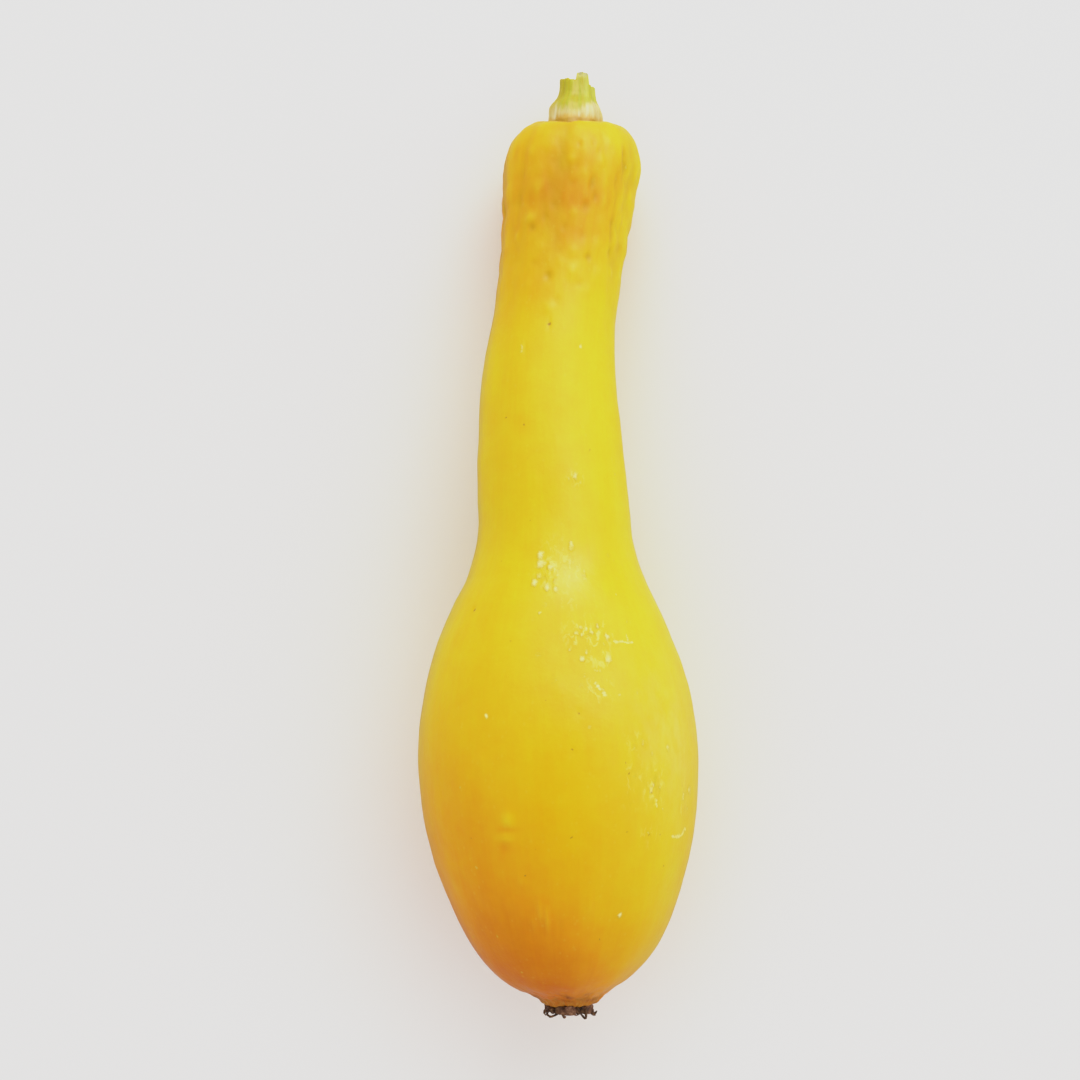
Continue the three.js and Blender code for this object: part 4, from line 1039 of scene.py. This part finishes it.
# Corky marks, those near the gleam on the shoulder partly painted glints: [.., .., radius, how pale].
SCARS = [
    [-5, 99.2, 0.83, 1], [-6.7, 98.8, 1.04, 1], [-7.5, 92.5, 0.89, 0.9], [-2.7, 79.2, 0.74, 0.85],
    [-3.6, 78.8, 0.67, 0.6], [-10.8, 102.2, 0.85, 1], [-9.5, 100, 0.7, 0.6], [-11.9, 94.5, 0.85, 1],
    [-12.3, 89.5, 0.72, 0.9], [-10.7, 90, 0.66, 0.5], [-6.5, 80.8, 1.2, 0.45], [-9.3, 72.5, 0.75, 0.55],
    [-8.5, 72, 0.66, 0.495], [-10.1, 72.5, 0.66, 0.495], [-7.5, 76.5, 0.81, 0.35], [-17.4, 97.8, 0.53, 0.8],
    [-15.7, 95.2, 0.67, 0.35], [-20.7, 78, 0.55, 0.8], [-21, 75.5, 0.52, 0.8], [-21.6, 73.2, 0.55, 0.8],
    [-20.5, 69.8, 0.57, 0.9], [-21.9, 80.5, 0.58, 0.75], [-22.3, 78, 0.55, 0.8], [-22.9, 74.8, 0.54, 0.5],
    [-24, 81.5, 0.49, 0.6], [-25.4, 84, 0.53, 0.7], [-26, 76.5, 0.58, 0.75], [-27.4, 78.8, 0.73, 0.9],
    [-22.7, 65.5, 0.69, 1], [-24.4, 68, 0.47, 0.45], [-27.5, 67, 0.94, 1], [-29.9, 72.8, 0.58, 0.5],
    [-29.9, 74, 0.51, 0.45], [-29.9, 71.5, 0.51, 0.45], [-31, 78.5, 0.64, 0.3], [-31.7, 90.8, 0.81, 0.3],
    [-26.3, 97.8, 0.91, 0.3], [-13.3, 54.2, 0.43, 0.6], [-4.7, 52, 0.54, 0.35], [-19.5, 52.5, 0.4, 0.4],
    [-33.2, 80.2, 0.7, 0.3], [-35.3, 64, 0.42, 0.6], [-39.1, 119.5, 0.49, 1], [41.5, 63.5, 0.44, 0.9],
    [11.9, 72.5, 0.82, 1], [11.2, 77.5, 0.43, 0.5], [10.6, 69, 0.43, 0.5], [13.2, 75.8, 0.33, 0.5],
    [-45.6, 55.2, 0.6, 0.5], [-46.6, 59.5, 0.64, 0.4], [-47, 42, 0.71, 0.6], [-48.1, 50.8, 0.55, 0.5],
    [-55.7, 51.8, 0.7, 0.85], [-54.8, 50.8, 0.57, 0.8], [-55.6, 47.2, 0.42, 0.5], [-55.1, 47.2, 0.37, 0.45],
    [-56.2, 47.2, 0.37, 0.45], [-58.8, 48.8, 0.42, 0.8], [-58.3, 48.8, 0.37, 0.72], [-59.3, 48.5, 0.37, 0.72],
    [-60.1, 45.2, 0.32, 0.6], [-59.6, 45.2, 0.28, 0.54], [-60.5, 45.2, 0.28, 0.54], [-56.3, 24.2, 0.83, 0.7],
    [-57.8, 29.8, 0.43, 0.9], [-57.2, 29.8, 0.38, 0.81], [-58.4, 29.5, 0.38, 0.81], [-60.6, 25, 0.51, 0.55],
    [-52, 44.8, 0.26, 0.45], [-50.8, 44.5, 0.23, 0.405], [-53.2, 44.8, 0.23, 0.405], [-64.8, 52.5, 0.42, 0.5],
    [-61.7, 66.5, 0.36, 0.35], [-61.1, 66.5, 0.32, 0.315], [-62.1, 66.5, 0.32, 0.315], [-52.7, 59.8, 0.42, 0.35],
    [-52, 59.8, 0.37, 0.315], [-53.4, 59.8, 0.37, 0.315], [-80.9, 62.2, 0.63, 1], [-85.9, 128.5, 0.37, 0.6],
    [-77, 74.8, 0.31, 0.5],
]
# [from along, from angle, to along, to angle, half width, how pale]
SCRATCHES = [
    [-23.8, 62.2, -23.9, 53, 0.33, 0.85], [-22.2, 54.8, -23.8, 55.5, 0.31, 0.6], [-32.7, 74, -34, 72.5, 0.48, 1], [-34.1, 71.2, -35.2, 70.5, 0.43, 0.9],
    [-66.1, 37.5, -66.2, 28.8, 0.43, 0.8], [-66.2, 28.8, -65, 25.2, 0.49, 0.8], [40.8, 115.8, 39.3, 115, 0.35, 0.5], [-24.7, 86.2, -24.4, 83.5, 0.23, 0.4],
]
# Dark flecks: [.., .., radius, how dark].
FLECKS = [
    [-72.3, 106.5, 0.34, 0.9], [-71.8, 40.5, 0.33, 0.9], [-56.4, 51.2, 0.26, 0.8], [-49.8, 63.5, 0.27, 0.7],
    [-52.2, 62, 0.27, 0.7], [-46.7, 84.8, 0.4, 0.7], [-39, 82, 0.36, 0.5], [-64.2, 62.8, 0.27, 0.6],
    [-65.4, 51.8, 0.27, 0.6], [-65.4, 45.2, 0.27, 0.6], [-64.7, 86.2, 0.32, 0.6], [-16.2, 138, 0.39, 0.9],
    [45.7, 93, 0.49, 0.8], [23.6, 110.5, 0.31, 0.6], [25.5, 126.5, 0.29, 0.6], [-23.3, 111.2, 0.27, 0.4],
    [-36.1, 94.8, 0.27, 0.4], [-64.5, 130, 0.27, 0.5], [-85.9, 70.8, 0.29, 0.5], [-66.9, 101, 0.27, 0.5],
    [-5.9, 48.2, 0.28, 0.4], [-5.7, 127, 0.28, 0.4], [2.7, 106.8, 0.28, 0.4], [17.7, 59.3, 0.28, 0.4],
]

# Painted light and shade, partly the skin's own colour too: the -X side is painted more orange and the +X side paler.
ORANGE_AND_SHADE_SIDE, PALE_AND_LIT_SIDE = 0.12, 0.47  # how much orange the -X side gains, and what share of it the +X side loses
PATCHES = [  # [distance along, angle, half length, half width, how much more orange]
    # Those at angles 150 to 172 in this list take back some of the painted shade on the -X side.
    [76.5, 108, 9.0, 10.5, 0.09], [-22.0, 172, 24.0, 15.0, -0.08], [-84.0, 103, 10.0, 10.0, 0.08], [-97.0, 95, 3.0, 5.0, 0.10], [70.0, 210, 9.0, 6.0, 0.10], [74.0, 320, 8.0, 6.0, 0.10],
    [76.0, 50.5, 9.0, 3.4, 0.20], [76.5, 77, 7.5, 3.2, 0.07], [75.7, 63.5, 1.6, 2.0, 0.08], [65.5, 79, 3.0, 4.5, 0.14],
    [35, 129, 5, 2.6, 0.06], [31, 119, 3, 2.4, 0.07], [26, 115, 3.5, 2.2, 0.06], [23, 110, 2, 2, 0.06], [53, 116, 4, 4, 0.05], [54, 100, 3, 3, 0.05], [51, 103, 3, 3, 0.04],
    # Round the lump on the bulb's upper left, -60 to -66 along: the paler ones are painted light on its bumps, the more
    # orange ones painted shade below them.
    [-60.8, 111.5, 1.5, 1.6, -0.16], [-62.6, 112.2, 0.7, 1.9, 0.10], [-64.3, 112.6, 0.9, 2.2, -0.09], [-66.3, 114.5, 1.1, 1.5, 0.10],
    [-89, 150, 9, 9, -0.07], [2, 150, 16, 9, -0.04], [-12.3, 127, 10, 7, -0.04], [-10, 63, 38, 8, 0.03],
    [35, 165, 42, 10, -0.07], [-25, 172, 18, 13, -0.05], [-76, 62, 17, 12, -0.07], [-74, 84, 11, 12, -0.04],
    [82.6, 90.5, 2.8, 2.4, -0.09], [85.0, 42, 5.0, 4.0, 0.10], [75.0, 77, 4.0, 3.2, 0.06], [87.0, 70, 3.0, 3.0, 0.04]]


TIP_PATCHES = [  # [distance along, angle, half length, half width, how dry] near the blossom end
    [-100.2, 150, 1.3, 1.8, 0.8], [-100.3, 36, 1.1, 1.4, 0.7], [-100.0, 73, 1.5, 0.9, 0.8], [-100.2, 62, 1.0, 1.2, 0.6], [-100.4, 112, 0.7, 1.3, 0.5], [-100.8, 152, 1.0, 2.0, 0.9],
    [-100.8, 34, 0.9, 1.6, 0.8], [-100.6, 210, 1.0, 2.0, 0.7], [-100.4, 262, 1.2, 2.4, 0.8], [-100.7, 316, 0.9, 2.0, 0.7]]

STAINS = [  # [distance along, angle, half length, half width, how dark] on the skin near it
    [-99.5, 87, 1.5, 1.3, 0.95], [-100.5, 93, 0.8, 1.7, 0.9], [-99.0, 61, 1.5, 1.7, 0.45], [-100.6, 52, 0.7, 1.7, 0.9], [-100.2, 148, 1.0, 1.6, 0.8],
    [-99.2, 165, 1.6, 2.6, 0.35], [-99.6, 205, 1.5, 3.0, 0.45], [-99.4, 250, 1.4, 2.6, 0.35], [-99.7, 292, 1.3, 3.0, 0.45], [-99.5, 340, 1.3, 2.8, 0.40]]

# The first two are a painted sheen, on the bulb's right side and on the shoulder below the gleam; the rest are chalky
# bloom.
BLOOM_AND_SHEEN = [  # [distance along, angle, half length, half width, how chalky]
    [-44, 38, 16, 12, 0.26], [-31, 67, 8, 6, 0.05], [60, 250, 14, 6, 0.10], [-50, 222, 18, 9, 0.12], [-30, 300, 14, 8, 0.12]]

DULL = [  # [distance along, angle, half length, half width, how dull]
    [-27, 76, 12, 14, 1.0], [-18, 78, 5, 12, 0.6], [0, 70, 6, 9, 0.8], [31, 67, 22, 14, 1.2], [75, 84, 17, 22, 1.0], [92, 90, 4, 14, 0.5], [-70, 200, 16, 14, 0.6], [20, 260, 14, 9, 0.5], [-40, 330, 14, 14, 0.5]]

# The two on the head are painted shade; the last deepens the colour near the blossom end.
DEEP_AND_SHADE = [  # [distance along, angle, half length, half width, how much deeper the colour is]
    [76.0, 102, 8.5, 9.0, 0.26], [66.0, 120, 8.0, 8.0, 0.10], [-97.5, 140, 4.5, 9.0, 0.10]]


# ------------------------------------------------------------------ the scene

AROUND_LIGHT, OVERHEAD_LIGHT, WINDOW_LIGHT, ROOM_LIGHT, GLEAM_LIGHT = 1.02, 0.50, 7.0, 1.5, 34.0
MIRRORED_SKY, MIRRORED_FLOOR = 0.12, 0.50  # what share of the sky and the floor the skin mirrors


def look_at(obj, target):
    from mathutils import Vector
    obj.rotation_euler = (Vector(target) - obj.location).to_track_quat("-Z", "Y").to_euler()


def area_light(name, place, target, size, power, colour=(1, 1, 1)):
    data = bpy.data.lights.new(name, "AREA")
    data.shape = "RECTANGLE"
    data.size, data.size_y = size
    data.energy = power
    data.color = colour
    obj = bpy.data.objects.new(name, data)
    bpy.context.scene.collection.objects.link(obj)
    obj.location = place
    look_at(obj, target)
    return obj


def floor_material():
    m = Nodes("pale_floor")
    place = m.position()
    tone = m.noise(place, 3.0, 3, 0.5)
    colour = m.mix(m.span(tone, 0.3, 0.7, 0.0, 1.0, "LINEAR"), (0.900, 0.880, 0.872), (0.890, 0.872, 0.860))
    mirrored = m.tree.nodes.new("ShaderNodeLightPath").outputs["Is Glossy Ray"]
    m.set(Base_Color=m.mix(m.maths("MULTIPLY", mirrored, 1 - MIRRORED_FLOOR), colour, (0, 0, 0)), Roughness=0.75)
    m.bsdf.inputs["Specular IOR Level"].default_value = 0.25
    return m.material


def make_scene():
    scene = bpy.context.scene
    cam = bpy.data.cameras.new("camera")
    cam.sensor_width = 36.0
    cam.lens = 18.0 / (TABLE_WIDTH / 2 / CAMERA_HEIGHT)
    cam.clip_start, cam.clip_end = 0.01, 50
    camera = bpy.data.objects.new("camera", cam)
    scene.collection.objects.link(camera)
    camera.location = (-ORIGIN[0] / 1000, -ORIGIN[1] / 1000, CAMERA_HEIGHT / 1000)
    scene.camera = camera

    mesh = bpy.data.meshes.new("floor")
    n, half = 24, 6.0
    g = np.linspace(-half, half, n + 1)
    mesh.from_pydata([(x, y, 0.0) for y in g for x in g], [],
                     [(i * (n + 1) + j, i * (n + 1) + j + 1, (i + 1) * (n + 1) + j + 1, (i + 1) * (n + 1) + j) for i in range(n) for j in range(n)])
    floor = bpy.data.objects.new("floor", mesh)
    scene.collection.objects.link(floor)
    mesh.materials.append(floor_material())

    world = bpy.data.worlds.new("world")
    scene.world = world
    world.use_nodes = True
    # Soft light from every side of the studio, less from straight above.
    tree = world.node_tree
    sky = tree.nodes.new("ShaderNodeTexCoord")
    split = tree.nodes.new("ShaderNodeSeparateXYZ")
    tree.links.new(sky.outputs["Generated"], split.inputs[0])
    fall = tree.nodes.new("ShaderNodeMapRange")
    fall.interpolation_type = "SMOOTHSTEP"
    tree.links.new(split.outputs["Z"], fall.inputs["Value"])
    for name, value in (("From Min", 0.72), ("From Max", 0.97), ("To Min", AROUND_LIGHT), ("To Max", OVERHEAD_LIGHT)):
        fall.inputs[name].default_value = value
    # Its own reflection is kept down, as it is behind a big soft screen, so the skin's colour stays deep.
    path = tree.nodes.new("ShaderNodeLightPath")
    keep = tree.nodes.new("ShaderNodeMapRange")
    tree.links.new(path.outputs["Is Glossy Ray"], keep.inputs["Value"])
    keep.inputs["To Min"].default_value, keep.inputs["To Max"].default_value = 1.0, MIRRORED_SKY
    both = tree.nodes.new("ShaderNodeMath")
    both.operation = "MULTIPLY"
    tree.links.new(fall.outputs["Result"], both.inputs[0])
    tree.links.new(keep.outputs["Result"], both.inputs[1])
    background = tree.nodes["Background"]
    background.inputs["Color"].default_value = (1.0, 0.985, 0.97, 1)
    tree.links.new(both.outputs[0], background.inputs["Strength"])
    # A window seen only as a gleam, the soft light it gives, and the room on the right.
    gleam = area_light("window_gleam", (0.435, 0.915, 0.815), (0, 0, 0.02), (1.32, 0.27), GLEAM_LIGHT, (1.0, 0.98, 0.93))
    gleam.data.shape = "ELLIPSE"
    gleam.visible_diffuse = False
    window = area_light("window", (0.15, 1.00, 0.85), (0, 0, 0.02), (1.3, 1.0), WINDOW_LIGHT, (1.0, 0.985, 0.96))
    room = area_light("room", (1.2, 0.0, 0.55), (0, 0, 0.02), (1.2, 0.8), ROOM_LIGHT, (1.0, 0.98, 0.95))
    window.visible_glossy = room.visible_glossy = False
    # A soft shoulder to the exposure, so pale things stay short of pure white.
    view = scene.view_settings
    view.view_transform = "Standard"
    view.look = "None"
    view.use_curve_mapping = True
    curves = view.curve_mapping
    curves.use_clip = False
    curve = curves.curves[3]
    curve.points[0].location = (0, 0)
    curve.points[-1].location = (4.0, 0.87)
    for x, y in ((0.30, 0.30), (0.55, 0.55), (0.65, 0.64), (0.75, 0.712), (0.82, 0.744), (0.90, 0.760), (1.0, 0.772), (1.3, 0.792), (2.0, 0.83)):
        curve.points.new(x, y)
    curves.extend = "HORIZONTAL"
    curves.update()


make_scene()
make_fruit()
make_stem()
make_blossom()

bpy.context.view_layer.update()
# Every closed shell has its faces pointing outwards.
for name in ("squash_fruit_skin", "squash_stem", "dried_blossom"):
    mesh = bpy.data.objects[name].data
    shells = bmesh.new()
    shells.from_mesh(mesh)
    bmesh.ops.recalc_face_normals(shells, faces=shells.faces)
    if shells.calc_volume(signed=True) < 0:
        bmesh.ops.reverse_faces(shells, faces=shells.faces)
    shells.to_mesh(mesh)
    shells.free()
    mesh.update()
